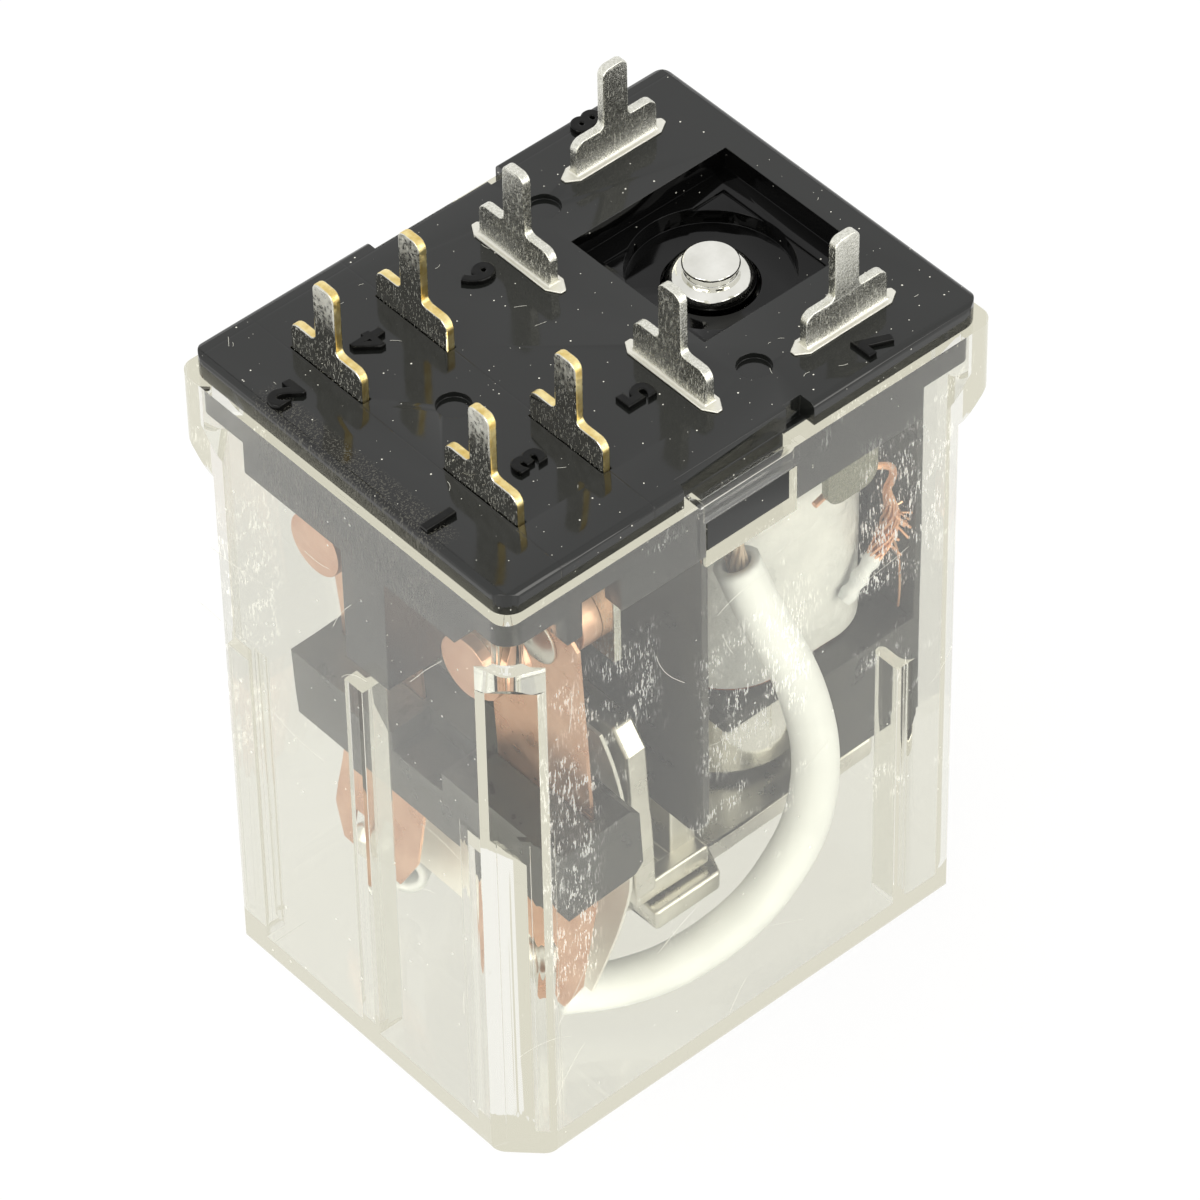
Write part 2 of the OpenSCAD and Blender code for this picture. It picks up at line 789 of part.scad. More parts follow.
module bobbin_flange(z, w) {
    past = 0.2;
    low_x = core_x - coil_l / 2 - past;
    translate([low_x, -w / 2, z])
        cube([bobbin_end - low_x, w, flange_t]);
}

module bobbin() {
    lip = 0.4;
    low_w = coil_w + 2 * lip;
    wall = 1.1;
    arm_t = 0.6;
    arm_y = yoke_w / 2 + 0.15;
    wing_low = coil_bottom - 3.3;
    wing_half = wing_w / 2;
    wing_r = 1.3;
    skirt_from = core_x - 0.9;
    end_t = 0.4;
    core_gap = 0.05;
    color([0.12, 0.12, 0.12])
        difference() {
            union() {
                translate([core_x, 0, pole_top])
                    cylinder(d = tube_d, h = flange_top - pole_top);
                bobbin_flange(coil_top, low_w + 2 * wall);
                bobbin_flange(pole_top, low_w);
                for (sy = [near, far]) {
                    translate([skirt_from, sy * (low_w / 2 + wall / 2) - wall / 2, coil_bottom - skirt_drop])
                        cube([bobbin_end - skirt_from, wall, skirt_drop]);
                    translate([wing_x - wing_t, sy * (arm_y + arm_t / 2) - arm_t / 2, coil_top])
                        cube([core_x - wing_x, arm_t, flange_t]);
                }
                translate([bobbin_end - end_t, -low_w / 2 - wall, coil_bottom - skirt_drop])
                    cube([end_t, low_w + 2 * wall, flange_top - coil_bottom + skirt_drop]);
                translate([wing_x - wing_t / 2, 0, (wing_low + flange_top) / 2])
                    rotate([90, 0, 90])
                        linear_extrude(wing_t, center = true)
                            rounded_rect(2 * wing_half, flange_top - wing_low, wing_r);
            }
            translate([core_x, 0, pole_top - cut])
                cylinder(d = core_d + 2 * core_gap, h = flange_top - pole_top + 2 * cut);
            for (sy = [near, far])
                translate([coil_pin_x, sy * coil_pin_y, flange_top])
                    cube([coil_leg_w + 2 * stack_gap, blade_t + 2 * stack_gap, 4 * flange_t], center = true);
        }
}

module coil() {
    color([0.6, 0.33, 0.18])
        difference() {
            translate([0, 0, coil_bottom])
                linear_extrude(coil_top - coil_bottom)
                    coil_shape(0);
            translate([core_x, 0, coil_bottom - cut])
                cylinder(d = tube_d, h = coil_top - coil_bottom + 2 * cut);
        }
}

module coil_tape() {
    margin = 0.2;
    color([0.92, 0.92, 0.88])
        translate([0, 0, coil_bottom + margin])
            linear_extrude(coil_top - coil_bottom - 2 * margin)
                difference() {
                    coil_shape(tape_t);
                    coil_shape(0);
                }
}

// Leans the upright parts of the armature away from the coil, about its bend
module leaning() {
    translate([bend_x, 0, bend_z])
        rotate([0, -lean, 0])
            translate([-bend_x, 0, -bend_z])
                children();
}

module armature_plate() {
    half_wide = armature_w / 2;
    half_pole = pole_plate_w / 2;
    plate_start = bend_x - 0.2;
    wide_end = yoke_x + wide_len;
    step = 0.6;
    corner = 1.1;
    translate([0, 0, plate_bottom])
        linear_extrude(armature_t)
            polygon([[plate_start, -half_wide], [wide_end, -half_wide], [wide_end + step, -half_pole],
                     [plate_end - corner, -half_pole], [plate_end, -half_pole + corner],
                     [plate_end, half_pole - corner], [plate_end - corner, half_pole],
                     [wide_end + step, half_pole], [wide_end, half_wide], [plate_start, half_wide]]);
}

// The upright leg, notched at its foot for the yoke's ears
module armature_leg() {
    half_wide = armature_w / 2;
    notch_h = 1.65;
    notch_z = bend_z + notch_h;
    leg_top = hinge_z + leg_h;
    corner_w = 0.85;
    corner_h = 1.3;
    translate([leg_x, 0, 0])
        rotate([90, 0, 90])
            linear_extrude(armature_t)
                polygon([[-leg_foot, bend_z], [leg_foot, bend_z], [leg_foot, notch_z],
                         [half_wide, notch_z], [half_wide, leg_top - corner_h],
                         [half_wide - corner_w, leg_top], [-half_wide + corner_w, leg_top],
                         [-half_wide, leg_top - corner_h], [-half_wide, notch_z],
                         [-leg_foot, notch_z]]);
}

// The bend between plate and leg, round outside and with a small fillet inside
module armature_bend() {
    fillet = 0.4;
    inset = 0.1;
    bend_r = armature_t - 2 * eps;
    first = 165;
    last = 285;
    steps = 12;
    arc = [for (i = [0 : steps]) first + (last - first) * i / steps];
    translate([bend_x, 0, bend_z])
        rotate([90, 0, 0])
            linear_extrude(2 * (leg_foot - eps), center = true)
                polygon(concat([[fillet, -inset], [-inset, fillet]],
                               [for (a = arc) bend_r * [cos(a), sin(a)]]));
}

module armature() {
    color([0.72, 0.7, 0.64])
        difference() {
            union() {
                armature_plate();
                leaning()
                    armature_leg();
                armature_bend();
            }
            leaning()
                carrier_pegs(armature_t + cut, slot_gap);
        }
}

// The two pegs of the carrier, through the leg
module carrier_pegs(length, gap) {
    peg_y = 0.35 * (boss_w - peg_d);
    for (sy = [near, far])
        translate([leg_x - eps, sy * peg_y, boss_z + boss_h / 2])
            rotate([0, 90, 0])
                cylinder(d = peg_d + 2 * gap, h = length + eps);
}

// The leaf in front of the leg: flat in the middle, bowed at its top and its foot
module return_spring() {
    leaf_top = hinge_z + leaf_h;
    leaf_low = hinge_z - leaf_drop;
    flat_top = carrier_bottom + 0.2;
    flat_low = hinge_z + leaf_bow;
    gap = 0.03;
    boss_gap = 0.2;
    steps = 20;
    top_curl = 0.022;
    foot_curl = 0.17;
    function curl(d, k) = k * d * d / (1 + k * d);
    function bow(z) =
        leg_x - gap - curl(max(z - flat_top, 0), top_curl) - curl(max(flat_low - z, 0), foot_curl);
    heights = [for (i = [0 : steps]) leaf_low + (leaf_top - leaf_low) * i / steps];
    color([0.85, 0.85, 0.82])
        leaning()
            difference() {
                rotate([90, 0, 0])
                    linear_extrude(leaf_w, center = true)
                        polygon(concat([for (z = heights) [bow(z), z]],
                                       [for (i = [steps : -1 : 0]) [bow(heights[i]) - leaf_t, heights[i]]]));
                translate([leg_x, 0, boss_z + boss_h / 2])
                    cube([4 * cut, boss_w + 2 * boss_gap, boss_h + 2 * boss_gap], center = true);
            }
}

module contact_carrier() {
    chamfer = 0.5;
    front = spring_x - 0.55 * carrier_l;
    back = front + carrier_l;
    peg_past = 0.3;
    saddle_w = 3.3;
    saddle_h = 1.2;
    color([0.13, 0.13, 0.13])
        leaning()
            difference() {
                union() {
                    rotate([90, 0, 0])
                        linear_extrude(carrier_w, center = true)
                            polygon([[front, carrier_bottom], [back - chamfer, carrier_bottom],
                                     [back, carrier_bottom + chamfer], [back, carrier_top - chamfer],
                                     [back - chamfer, carrier_top], [front, carrier_top]]);
                    translate([back - eps, -boss_w / 2, boss_z])
                        cube([leg_x - back + eps, boss_w, boss_h]);
                    carrier_pegs(armature_t + peg_past, 0);
                }
                for (sy = [near, far])
                    translate([spring_x, sy * pole_y, carrier_bottom + carrier_h / 2])
                        cube([spring_t + 2 * slot_gap, spring_w + 2 * slot_gap, carrier_h + cut],
                             center = true);
                translate([front, 0, carrier_top])
                    cube([carrier_l, saddle_w, 2 * saddle_h], center = true);
            }
}

// A moving spring from its side: upright, with its tail folded outwards at the knee
module spring_side() {
    half_t = spring_t / 2;
    reach = tail_len + cut;
    out = reach * sin(tail_slant);
    drop = reach * cos(tail_slant);
    mitre = half_t * tan(tail_slant / 2);
    side_x = half_t * cos(tail_slant);
    side_z = half_t * sin(tail_slant);
    translate([spring_x, 0])
        polygon([[half_t, spring_top + cut], [half_t, knee_z - mitre],
                 [side_x - out, knee_z - drop - side_z], [-side_x - out, knee_z - drop + side_z],
                 [-half_t, knee_z + mitre], [-half_t, spring_top + cut]]);
}

// A moving spring from its face, with a slit in its foot for the lead
module spring_face() {
    half_s = spring_w / 2;
    half_slit = slit_w / 2;
    corner = 0.8;
    polygon([[-half_s, spring_top - corner], [-half_s, tail_low + 2 * corner], [-half_s + corner, tail_low],
             [-half_slit, tail_low], [-half_slit, tail_low + slit_h], [half_slit, tail_low + slit_h],
             [half_slit, tail_low], [half_s - corner, tail_low], [half_s, tail_low + 2 * corner],
             [half_s, spring_top - corner], [half_s - corner, spring_top], [-half_s + corner, spring_top]]);
}

module moving_spring(side) {
    color([0.86, 0.6, 0.45])
        leaning()
            difference() {
                intersection() {
                    translate([0, side * pole_y, 0])
                        rotate([90, 0, 0])
                            linear_extrude(spring_w + cut, center = true)
                                spring_side();
                    translate([spring_x, side * pole_y, 0])
                        rotate([90, 0, 90])
                            linear_extrude(4 * tail_len, center = true)
                                spring_face();
                }
                moving_shank(side, slot_gap);
            }
}

// The rivet shank of a moving contact, through its spring
module moving_shank(side, gap) {
    translate([spring_x, side * pole_y, moving_z])
        rotate([0, 90, 0])
            cylinder(d = shank_d + 2 * gap, h = spring_t + (gap > 0 ? cut : 0), center = true);
}

// A domed contact face on the +Z side of a plane at height 0
module domed_head(d, h) {
    dome_r = 4;
    intersection() {
        cylinder(d = d, h = h + cut);
        translate([0, 0, h - dome_r])
            sphere(dome_r);
    }
}

module moving_contact(side) {
    head_d = contact_d - 0.4;
    color([0.86, 0.86, 0.84])
        leaning() {
            moving_shank(side, 0);
            translate([spring_x, side * pole_y, moving_z]) {
                rotate([0, 90, 0])
                    translate([0, 0, spring_t / 2])
                        domed_head(head_d, moving_head);
                rotate([0, -90, 0])
                    translate([0, 0, spring_t / 2])
                        domed_head(head_d, moving_back);
            }
        }
}

// Solder in the slit of a moving spring's tail, with the lead's bare end in it
module lead_solder(side) {
    drop_d = slit_w - 0.1;
    drop_z = tail_low + slit_h - drop_d / 2 - 0.15;
    drop_x = spring_x - (knee_z - drop_z) * tan(tail_slant);
    end_d = 0.9;
    end_l = 2.1;
    end_lean = 19;
    color([0.88, 0.88, 0.84])
        leaning() {
            translate([drop_x, side * pole_y, drop_z])
                rotate([0, 180 - end_lean, 0]) {
                    sphere(d = drop_d);
                    cylinder(d = end_d, h = end_l);
                }
        }
}

// Points along a lead on the near side, from the common terminal to the spring's tail
LEAD = [[1.5, -7.3, 26.3], [1.9, -7.9, 24.4], [2.7, -8.4, 21.8], [3.7, -8.6, 19], [4.5, -8.6, 16.2],
        [5, -8.6, 13.4], [5, -8.6, 10.8], [4.4, -8.6, 8.5], [3.2, -8.5, 6.6], [1.5, -8.4, 5.2],
        [-0.5, -8, 4.1], [-2.6, -7.4, 3.4], [-4.3, -6.5, 2.9], [-5.7, -5.6, 2.7], [-7, -4.8, 2.8]];

function unit(v) = v / norm(v);

// One ring of a swept tube: points round a centre, square to the path's direction
function ring(p, along, r, sides) =
    let (side = unit(cross(along, [0.13, 1, 0.2])), up = cross(side, along))
    [for (i = [0 : sides - 1]) p + r * (cos(360 * i / sides) * side + sin(360 * i / sides) * up)];

function heading(path, i) =
    unit(path[min(i + 1, len(path) - 1)] - path[max(i - 1, 0)]);

// A tube of flat sides swept along a path
module swept_tube(path, d, sides) {
    n = len(path);
    points = [for (i = [0 : n - 1]) each ring(path[i], heading(path, i), d / 2, sides)];
    walls = [for (i = [0 : n - 2], j = [0 : sides - 1])
        let (a = i * sides + j, b = i * sides + (j + 1) % sides)
        [a, b, b + sides, a + sides]];
    first = [for (j = [sides - 1 : -1 : 0]) j];
    last = [for (j = [0 : sides - 1]) (n - 1) * sides + j];
    polyhedron(points, concat([first, last], walls));
}

module lead_sleeve(side) {
    color([0.93, 0.92, 0.88])
        mirror([0, side > 0 ? 1 : 0, 0])
            swept_tube(LEAD, sleeve_d, 10);
}

// The bare end of the lead, from its sleeve up to the common terminal's tab
module lead_wire(side) {
    out = unit(LEAD[0] - LEAD[1]);
    tab_x = common_x + blade_t / 2 + wire_d / 2 + 0.12;
    tab_y = -pole_y - shoulder_w / 2 + wire_d / 5;
    color([0.8, 0.5, 0.35])
        mirror([0, side > 0 ? 1 : 0, 0])
            swept_tube([LEAD[0] + 0.05 * out, LEAD[0] + 0.6 * out, [tab_x, tab_y, contact_z + 1.4],
                        [tab_x, tab_y, contact_z + 4]], wire_d, 8);
}

// The twisted coil end that rises from the tape and passes behind the coil terminal's leg
module coil_lead(side) {
    tape_y = coil_w / 2 + tape_t + coil_lead_d / 2 + 0.05;
    leg_y = coil_pin_y - blade_t / 2 - coil_lead_d / 2 - 0.05;
    low_z = contact_z - coil_lead_drop;
    color([0.8, 0.45, 0.28])
        mirror([0, side > 0 ? 1 : 0, 0])
            swept_tube([[core_x + 2.2, -tape_y, low_z], [core_x + 3.9, -tape_y - 0.1, low_z + 1.5],
                        [core_x + 4.3, -tape_y - 0.2, low_z + 3.2], [core_x + 4, -leg_y + 0.1, low_z + 5.2],
                        [core_x + 3.1, -leg_y, low_z + 7], [core_x + 1.9, -leg_y, low_z + 9]],
                       coil_lead_d, 8);
}

cover();
base();
make_terminal(near);  // terminal_1
make_terminal(far);  // terminal_2
break_terminal(near);  // terminal_3
break_terminal(far);  // terminal_4
common_terminal(near);  // terminal_5
common_terminal(far);  // terminal_6
coil_terminal(near);  // terminal_7
coil_terminal(far);  // terminal_8
make_contact(near);  // make_contact_near
make_contact(far);  // make_contact_far
break_contact(near);  // break_contact_near
break_contact(far);  // break_contact_far
yoke();
core();
bobbin();
coil();
coil_tape();
armature();
return_spring();
contact_carrier();
moving_spring(near);  // moving_spring_near
moving_spring(far);  // moving_spring_far
moving_contact(near);  // moving_contact_near
moving_contact(far);  // moving_contact_far
lead_solder(near);  // lead_solder_near
lead_solder(far);  // lead_solder_far
lead_sleeve(near);  // lead_sleeve_near
lead_sleeve(far);  // lead_sleeve_far
lead_wire(near);  // lead_wire_near
lead_wire(far);  // lead_wire_far
coil_lead(near);  // coil_lead_near
coil_lead(far);  // coil_lead_far
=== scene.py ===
# %% [markdown]
# # A relay under a clear cover
#
# The relay stands on the closed face of its cover, terminals up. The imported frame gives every
# rigid piece at its real size, so this lesson adds what the eye expects on top of it: broken
# edges, plating, moulded numbers, soft leads, scratches and dust.

# %% Load the frame
import json
import math
import random

import bmesh
import bpy
from mathutils import Matrix, Vector
from mathutils.bvhtree import BVHTree


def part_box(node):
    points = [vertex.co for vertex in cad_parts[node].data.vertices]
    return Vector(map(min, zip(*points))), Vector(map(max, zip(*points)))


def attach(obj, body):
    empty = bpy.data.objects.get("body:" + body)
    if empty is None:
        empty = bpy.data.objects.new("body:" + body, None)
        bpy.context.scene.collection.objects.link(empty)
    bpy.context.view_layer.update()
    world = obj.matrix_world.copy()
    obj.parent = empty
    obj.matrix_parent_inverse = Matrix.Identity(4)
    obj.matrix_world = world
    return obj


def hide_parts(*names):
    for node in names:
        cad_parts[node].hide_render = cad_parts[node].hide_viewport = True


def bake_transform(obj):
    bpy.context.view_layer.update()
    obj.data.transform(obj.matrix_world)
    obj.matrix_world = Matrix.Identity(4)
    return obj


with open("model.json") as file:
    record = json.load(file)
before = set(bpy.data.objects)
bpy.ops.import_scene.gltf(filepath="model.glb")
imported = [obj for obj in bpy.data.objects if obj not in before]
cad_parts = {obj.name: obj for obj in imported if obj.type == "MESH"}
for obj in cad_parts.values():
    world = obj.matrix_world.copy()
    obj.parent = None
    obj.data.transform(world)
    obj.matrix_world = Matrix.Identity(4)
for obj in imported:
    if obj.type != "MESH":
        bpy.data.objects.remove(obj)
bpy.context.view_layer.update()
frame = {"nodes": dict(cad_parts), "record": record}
nodes = frame["nodes"]
MM = 0.001
SIDES = {"near": -1, "far": 1}
body_of_node = {n: b for b, members in frame["record"]["behaviour"]["bodies"].items() for n in members}
slot_of_node = {s["node"]: s["material_slot"] for s in frame["record"]["subparts"]}

# %% [markdown]
# ## The camera
#
# The photograph looks down on one corner from about a third of a metre with a long lens, so the
# upright edges lean in only a little. A place, an aim and a small roll say it all. Blender's
# camera looks along its own -Z axis, which is what to_track_quat turns towards the aim.

# %% Camera
EYE = Vector((-151.84, -177.34, 255.88)) * MM
AIM = Vector((0.95, 0.61, 18.0)) * MM
ROLL = math.radians(1.19)
LENS_MM = 224.86
SENSOR_MM = 36

camera_data = bpy.data.cameras.new("camera")
camera_data.lens = LENS_MM
camera_data.sensor_width = SENSOR_MM
camera_data.clip_start = 0.01
camera = bpy.data.objects.new("camera", camera_data)
bpy.context.scene.collection.objects.link(camera)
turn = (AIM - EYE).to_track_quat("-Z", "Y").to_matrix() @ Matrix.Rotation(-ROLL, 3, "Z")
camera.matrix_world = Matrix.Translation(EYE) @ turn.to_4x4()
bpy.context.scene.camera = camera
bpy.context.scene.view_settings.view_transform = "Standard"
print("camera", round((AIM - EYE).length / MM), "mm from its aim")

# %% [markdown]
# ## Small helpers
#
# Operators act on whatever is selected, and loading the frame leaves its pieces selected. So each
# step starts from a clean selection. Shader trees are easier to read when one call adds a node,
# sets its options and fills its sockets, with either a value or a link from another node.

# %% Selection and shader helpers
def select_only(piece):
    """Makes one object the only selected and the active one."""
    bpy.ops.object.select_all(action="DESELECT")
    piece.select_set(True)
    bpy.context.view_layer.objects.active = piece


def plug(tree, value, socket):
    """Links an output to a socket, or sets the socket's own value."""
    if isinstance(value, bpy.types.NodeSocket):
        tree.links.new(value, socket)
    else:
        socket.default_value = value


def add_node(tree, kind, sockets=None, **options):
    """Adds a shader node. Sockets are filled by name or number, with a value or an output."""
    new = tree.nodes.new("ShaderNode" + kind)
    for name, value in options.items():
        setattr(new, name, value)
    for name, value in (sockets or {}).items():
        plug(tree, value, new.inputs[name])
    return new


def math_node(tree, operation, a, b=0.0):
    """One sum of two values."""
    return add_node(tree, "Math", {0: a, 1: b}, operation=operation).outputs[0]


def chain(tree, operation, values):
    """The same sum carried on over a row of values."""
    result = values[0]
    for value in values[1:]:
        result = math_node(tree, operation, result, value)
    return result


def times(tree, *values):
    """The product of values: with masks, the places that all of them share."""
    return chain(tree, "MULTIPLY", values)


def most(tree, *values):
    """The greatest of values: with masks, the places of any of them."""
    return chain(tree, "MAXIMUM", values)


def magnitude(tree, value):
    """A value without its sign."""
    return math_node(tree, "ABSOLUTE", value)


def ramp(tree, value, low, high, bottom=0.0, top=1.0):
    """Stretches a value between two limits, and clamps it there."""
    sockets = {"Value": value, "From Min": low, "From Max": high, "To Min": bottom, "To Max": top}
    return add_node(tree, "MapRange", sockets, clamp=True).outputs["Result"]


def mix_colour(tree, mask, a, b):
    """Colour a where the mask is 0 and colour b where it is 1."""
    return add_node(tree, "Mix", {0: mask, 6: a, 7: b}, data_type="RGBA").outputs[2]


def new_material(name):
    """An empty material with a Principled shader at its output."""
    material = bpy.data.materials.new(name)
    material.use_nodes = True
    tree = material.node_tree
    tree.nodes.clear()
    shader = add_node(tree, "BsdfPrincipled")
    output = add_node(tree, "OutputMaterial", {"Surface": shader.outputs["BSDF"]})
    return material, tree, shader, output


def rgb(r, g, b):
    """A colour given in the 0 to 255 steps of a screen, as the linear value that shaders want."""
    return tuple((v / 255) ** 2.2 for v in (r, g, b)) + (1.0,)


# %% [markdown]
# ## Stage and light
#
# The object was taken in a white light tent: white comes from every side, with a little more
# from above. So the world is an even warm white, the floor is pale and glows for the camera and
# for what gloss and clear plastic show. One wide lamp overhead and one at each visible side give
# the forms direction. The floor's glow lights nothing, so Cycles needn't look for lamps in it.

# %% Floor, world and lamps
LIGHT_WHITE = (1.0, 0.985, 0.93, 1.0)
WORLD_STRENGTH = 0.9
FLOOR_GLOW = 0.9
FLOOR_SIZE = 3.0
FLOOR_DROP_MM = 0.02


def seen_directly(tree):
    """1 for rays from the camera, or through gloss or clear plastic, and 0 for the light on surfaces."""
    ray = add_node(tree, "LightPath").outputs
    return most(tree, ray["Is Camera Ray"], ray["Is Glossy Ray"], ray["Is Transmission Ray"])


def make_world():
    world = bpy.data.worlds.new("white_tent")
    world.use_nodes = True
    tree = world.node_tree
    tree.nodes.clear()
    seen = seen_directly(tree)
    light = add_node(tree, "Background", {"Color": LIGHT_WHITE, "Strength": WORLD_STRENGTH})
    backdrop = add_node(tree, "Background", {"Color": (1, 1, 1, 1), "Strength": 1.0})
    mixed = add_node(tree, "MixShader", {0: seen, 1: light.outputs[0], 2: backdrop.outputs[0]})
    add_node(tree, "OutputWorld", {"Surface": mixed.outputs[0]})
    bpy.context.scene.world = world


def make_floor():
    bpy.ops.object.select_all(action="DESELECT")
    bpy.ops.mesh.primitive_plane_add(size=FLOOR_SIZE, location=(0, 0, -FLOOR_DROP_MM * MM))
    floor = bpy.context.object
    floor.name = "floor"
    material = bpy.data.materials.new("pale_floor")
    material.use_nodes = True
    tree = material.node_tree
    tree.nodes.clear()
    matt = add_node(tree, "BsdfDiffuse", {"Color": (0.85, 0.85, 0.84, 1)})
    glow = add_node(tree, "Emission", {"Color": (1, 1, 1, 1), "Strength": 1.0})
    share = times(tree, seen_directly(tree), FLOOR_GLOW)
    mixed = add_node(tree, "MixShader", {0: share, 1: matt.outputs[0], 2: glow.outputs[0]})
    add_node(tree, "OutputMaterial", {"Surface": mixed.outputs[0]})
    material.cycles.emission_sampling = "NONE"
    floor.data.materials.append(material)


def make_lamp(name, place, size, power, mirrored_too=True):
    """A square soft lamp that faces the middle of the object. Polished metal may leave it out."""
    data = bpy.data.lights.new(name, "AREA")
    data.size = size
    data.energy = power
    data.color = LIGHT_WHITE[:3]
    lamp = bpy.data.objects.new(name, data)
    bpy.context.scene.collection.objects.link(lamp)
    lamp.visible_glossy = mirrored_too
    place = Vector(place)
    facing = (AIM - place).to_track_quat("-Z", "Y").to_matrix().to_4x4()
    lamp.matrix_world = Matrix.Translation(place) @ facing


make_world()
make_floor()
make_lamp("overhead", (-0.1, 0.15, 0.6), 0.5, 2.0, mirrored_too=False)
make_lamp("contact_end", (-0.5, -0.12, 0.16), 0.4, 1.5)
make_lamp("long_side", (0.08, -0.5, 0.16), 0.4, 1.5)
print("stage set")

# %% [markdown]
# ## Effects that several finishes share
#
# Dust is a scatter of specks of all sizes. Voronoi cells give each speck its own place and a
# random number for its size. Scratches are noise that is stretched in one direction and cut off
# high, so that only thin streaks are left. Flecks are the same with a short stretch, as handling
# leaves on plating and clear plastic. Each puts out a mask between 0 and 1.

# %% Shared groups
def new_group(name, inputs, outputs):
    """A shader node group with named number sockets."""
    group = bpy.data.node_groups.new(name, "ShaderNodeTree")
    for label, default in inputs.items():
        socket = group.interface.new_socket(label, in_out="INPUT", socket_type="NodeSocketFloat")
        socket.default_value = default
    for label in outputs:
        group.interface.new_socket(label, in_out="OUTPUT", socket_type="NodeSocketFloat")
    return group, group.nodes.new("NodeGroupInput"), group.nodes.new("NodeGroupOutput")


def own_coords(tree):
    """The piece's own coordinates, in metres."""
    return add_node(tree, "TexCoord").outputs["Object"]


def make_speck_group():
    group, given, result = new_group("specks", {"Scale": 700.0, "Size": 0.12}, ["Mask"])
    cells = add_node(group, "TexVoronoi", {"Vector": own_coords(group), "Scale": given.outputs["Scale"]})
    chance = add_node(group, "SeparateColor", {"Color": cells.outputs["Color"]}).outputs[0]
    reach = times(group, math_node(group, "POWER", chance, 4.0), given.outputs["Size"])
    mask = math_node(group, "LESS_THAN", cells.outputs["Distance"], reach)
    group.links.new(mask, result.inputs["Mask"])
    return group


def cut_streaks(group, given, angles, stretch, roughness, soft):
    """Noise that is turned, drawn out and cut off high, so that only streaks are left."""
    turned = add_node(group, "Mapping", {"Vector": own_coords(group), "Rotation": angles, "Scale": stretch})
    noise = add_node(group, "TexNoise", {"Vector": turned.outputs[0], "Scale": given.outputs["Scale"],
                                         "Detail": 2.0, "Roughness": roughness})
    edge = math_node(group, "ADD", given.outputs["Cut"], soft)
    return ramp(group, noise.outputs["Fac"], given.outputs["Cut"], edge)


def make_scratch_group():
    group, given, result = new_group("scratches", {"Scale": 2500.0, "Cut": 0.68}, ["Mask"])
    headings = ((0.3, 0.2, 0.7), (-0.5, 0.4, -0.4), (0.9, -0.6, 1.9))
    masks = [cut_streaks(group, given, angles, (1, 0.035, 1), 0.6, 0.04) for angles in headings]
    group.links.new(most(group, *masks), result.inputs["Mask"])
    return group


def make_fleck_group():
    group, given, result = new_group("flecks", {"Scale": 15000.0, "Cut": 0.6, "Turn": 0.0}, ["Mask"])
    masks = []
    for lean, tilt in ((0.15, 0.1), (-0.75, -0.75)):
        heading = math_node(group, "ADD", given.outputs["Turn"], tilt)
        angles = add_node(group, "CombineXYZ", {"X": lean, "Y": heading}).outputs[0]
        masks.append(cut_streaks(group, given, angles, (1, 1, 0.18), 0.65, 0.05))
    group.links.new(most(group, *masks), result.inputs["Mask"])
    return group


SPECKS = make_speck_group()
SCRATCHES = make_scratch_group()
FLECKS = make_fleck_group()


def group_mask(tree, group, **values):
    """Places a shared group in a material with its own values."""
    new = tree.nodes.new("ShaderNodeGroup")
    new.node_tree = group
    for name, value in values.items():
        new.inputs[name].default_value = value
    return new.outputs["Mask"]


def grain(tree, scale, detail=3.0, roughness=0.55):
    """Plain noise on the piece's own coordinates."""
    return add_node(tree, "TexNoise", {"Vector": own_coords(tree), "Scale": scale, "Detail": detail,
                                       "Roughness": roughness}).outputs["Fac"]


def bump(tree, shader, height, depth_mm):
    """Gives the shader a relief of a real depth."""
    relief = add_node(tree, "Bump", {"Height": height, "Strength": 1.0, "Distance": depth_mm * MM})
    tree.links.new(relief.outputs["Normal"], shader.inputs["Normal"])


def position(tree):
    """The piece's own X, Y and Z in metres."""
    return add_node(tree, "SeparateXYZ", {"Vector": own_coords(tree)}).outputs


def near_value(tree, value, middle_mm, half_mm, soft_mm=0.02):
    """1 within a strip round a place, and 0 outside it."""
    off = magnitude(tree, math_node(tree, "SUBTRACT", value, middle_mm * MM))
    return ramp(tree, off, half_mm * MM, (half_mm + soft_mm) * MM, 1.0, 0.0)


print("shared groups:", SPECKS.name, SCRATCHES.name, FLECKS.name)

# %% [markdown]
# ## Clear plastic
#
# The cover is one clear moulding with a faint cream tint. A Principled shader with full
# transmission bends the view as the real wall does. Light that reaches the works goes straight
# through, by a Transparent shader for shadow rays, which is quicker and cleaner than waiting for
# it to find its way. A ray that has bounced along inside a wall many times meets a painted cream
# glow, which stands in for the light that the real wall's edges gather. White scuffs lie in patches
# on the outer faces only. They are rough there, and a painted white glow stands in for the tent's
# light that they scatter. The posts in two corners and the bars above the latch windows show lines
# from the mould, which a drawn-out noise gives as relief. The scuffs' painted glow is too faint to
# light anything, so Cycles needn't look for lamps in it either.

# %% Cover finish
# Painted glow for rays trapped inside the wall.
PAINTED_EDGE_GLOW = rgb(228, 225, 208)
# Painted white glow of the scuffs, and its strength.
SCUFF_PAINTED_LIGHT = rgb(240, 239, 230)
SCUFF_PAINTED_GLOW = 0.5
SCUFFED_MM = [(-11.0, 18.0, 1.3, 7.0), (-8.0, 27.0, 1.8, 1.5),  # x, z, half width, half height
              (0.0, 22.0, 2.6, 3.0), (8.6, 27.0, 2.0, 3.5)]
POST_MM = {"x": (-12.4, 1.1), "y": (8.5, 1.6), "z": (10.5, 9.5, 0.3)}  # middle, half width, soft edge
BAR_MM = {"x": (-0.2, 2.7), "z": (34.4, 0.7)}
SKIN_MM = 0.03
TRAPPED_DEPTH = 2.5
LATE_DEPTH = 7.5
wall_x, wall_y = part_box("cover")[1][:2]


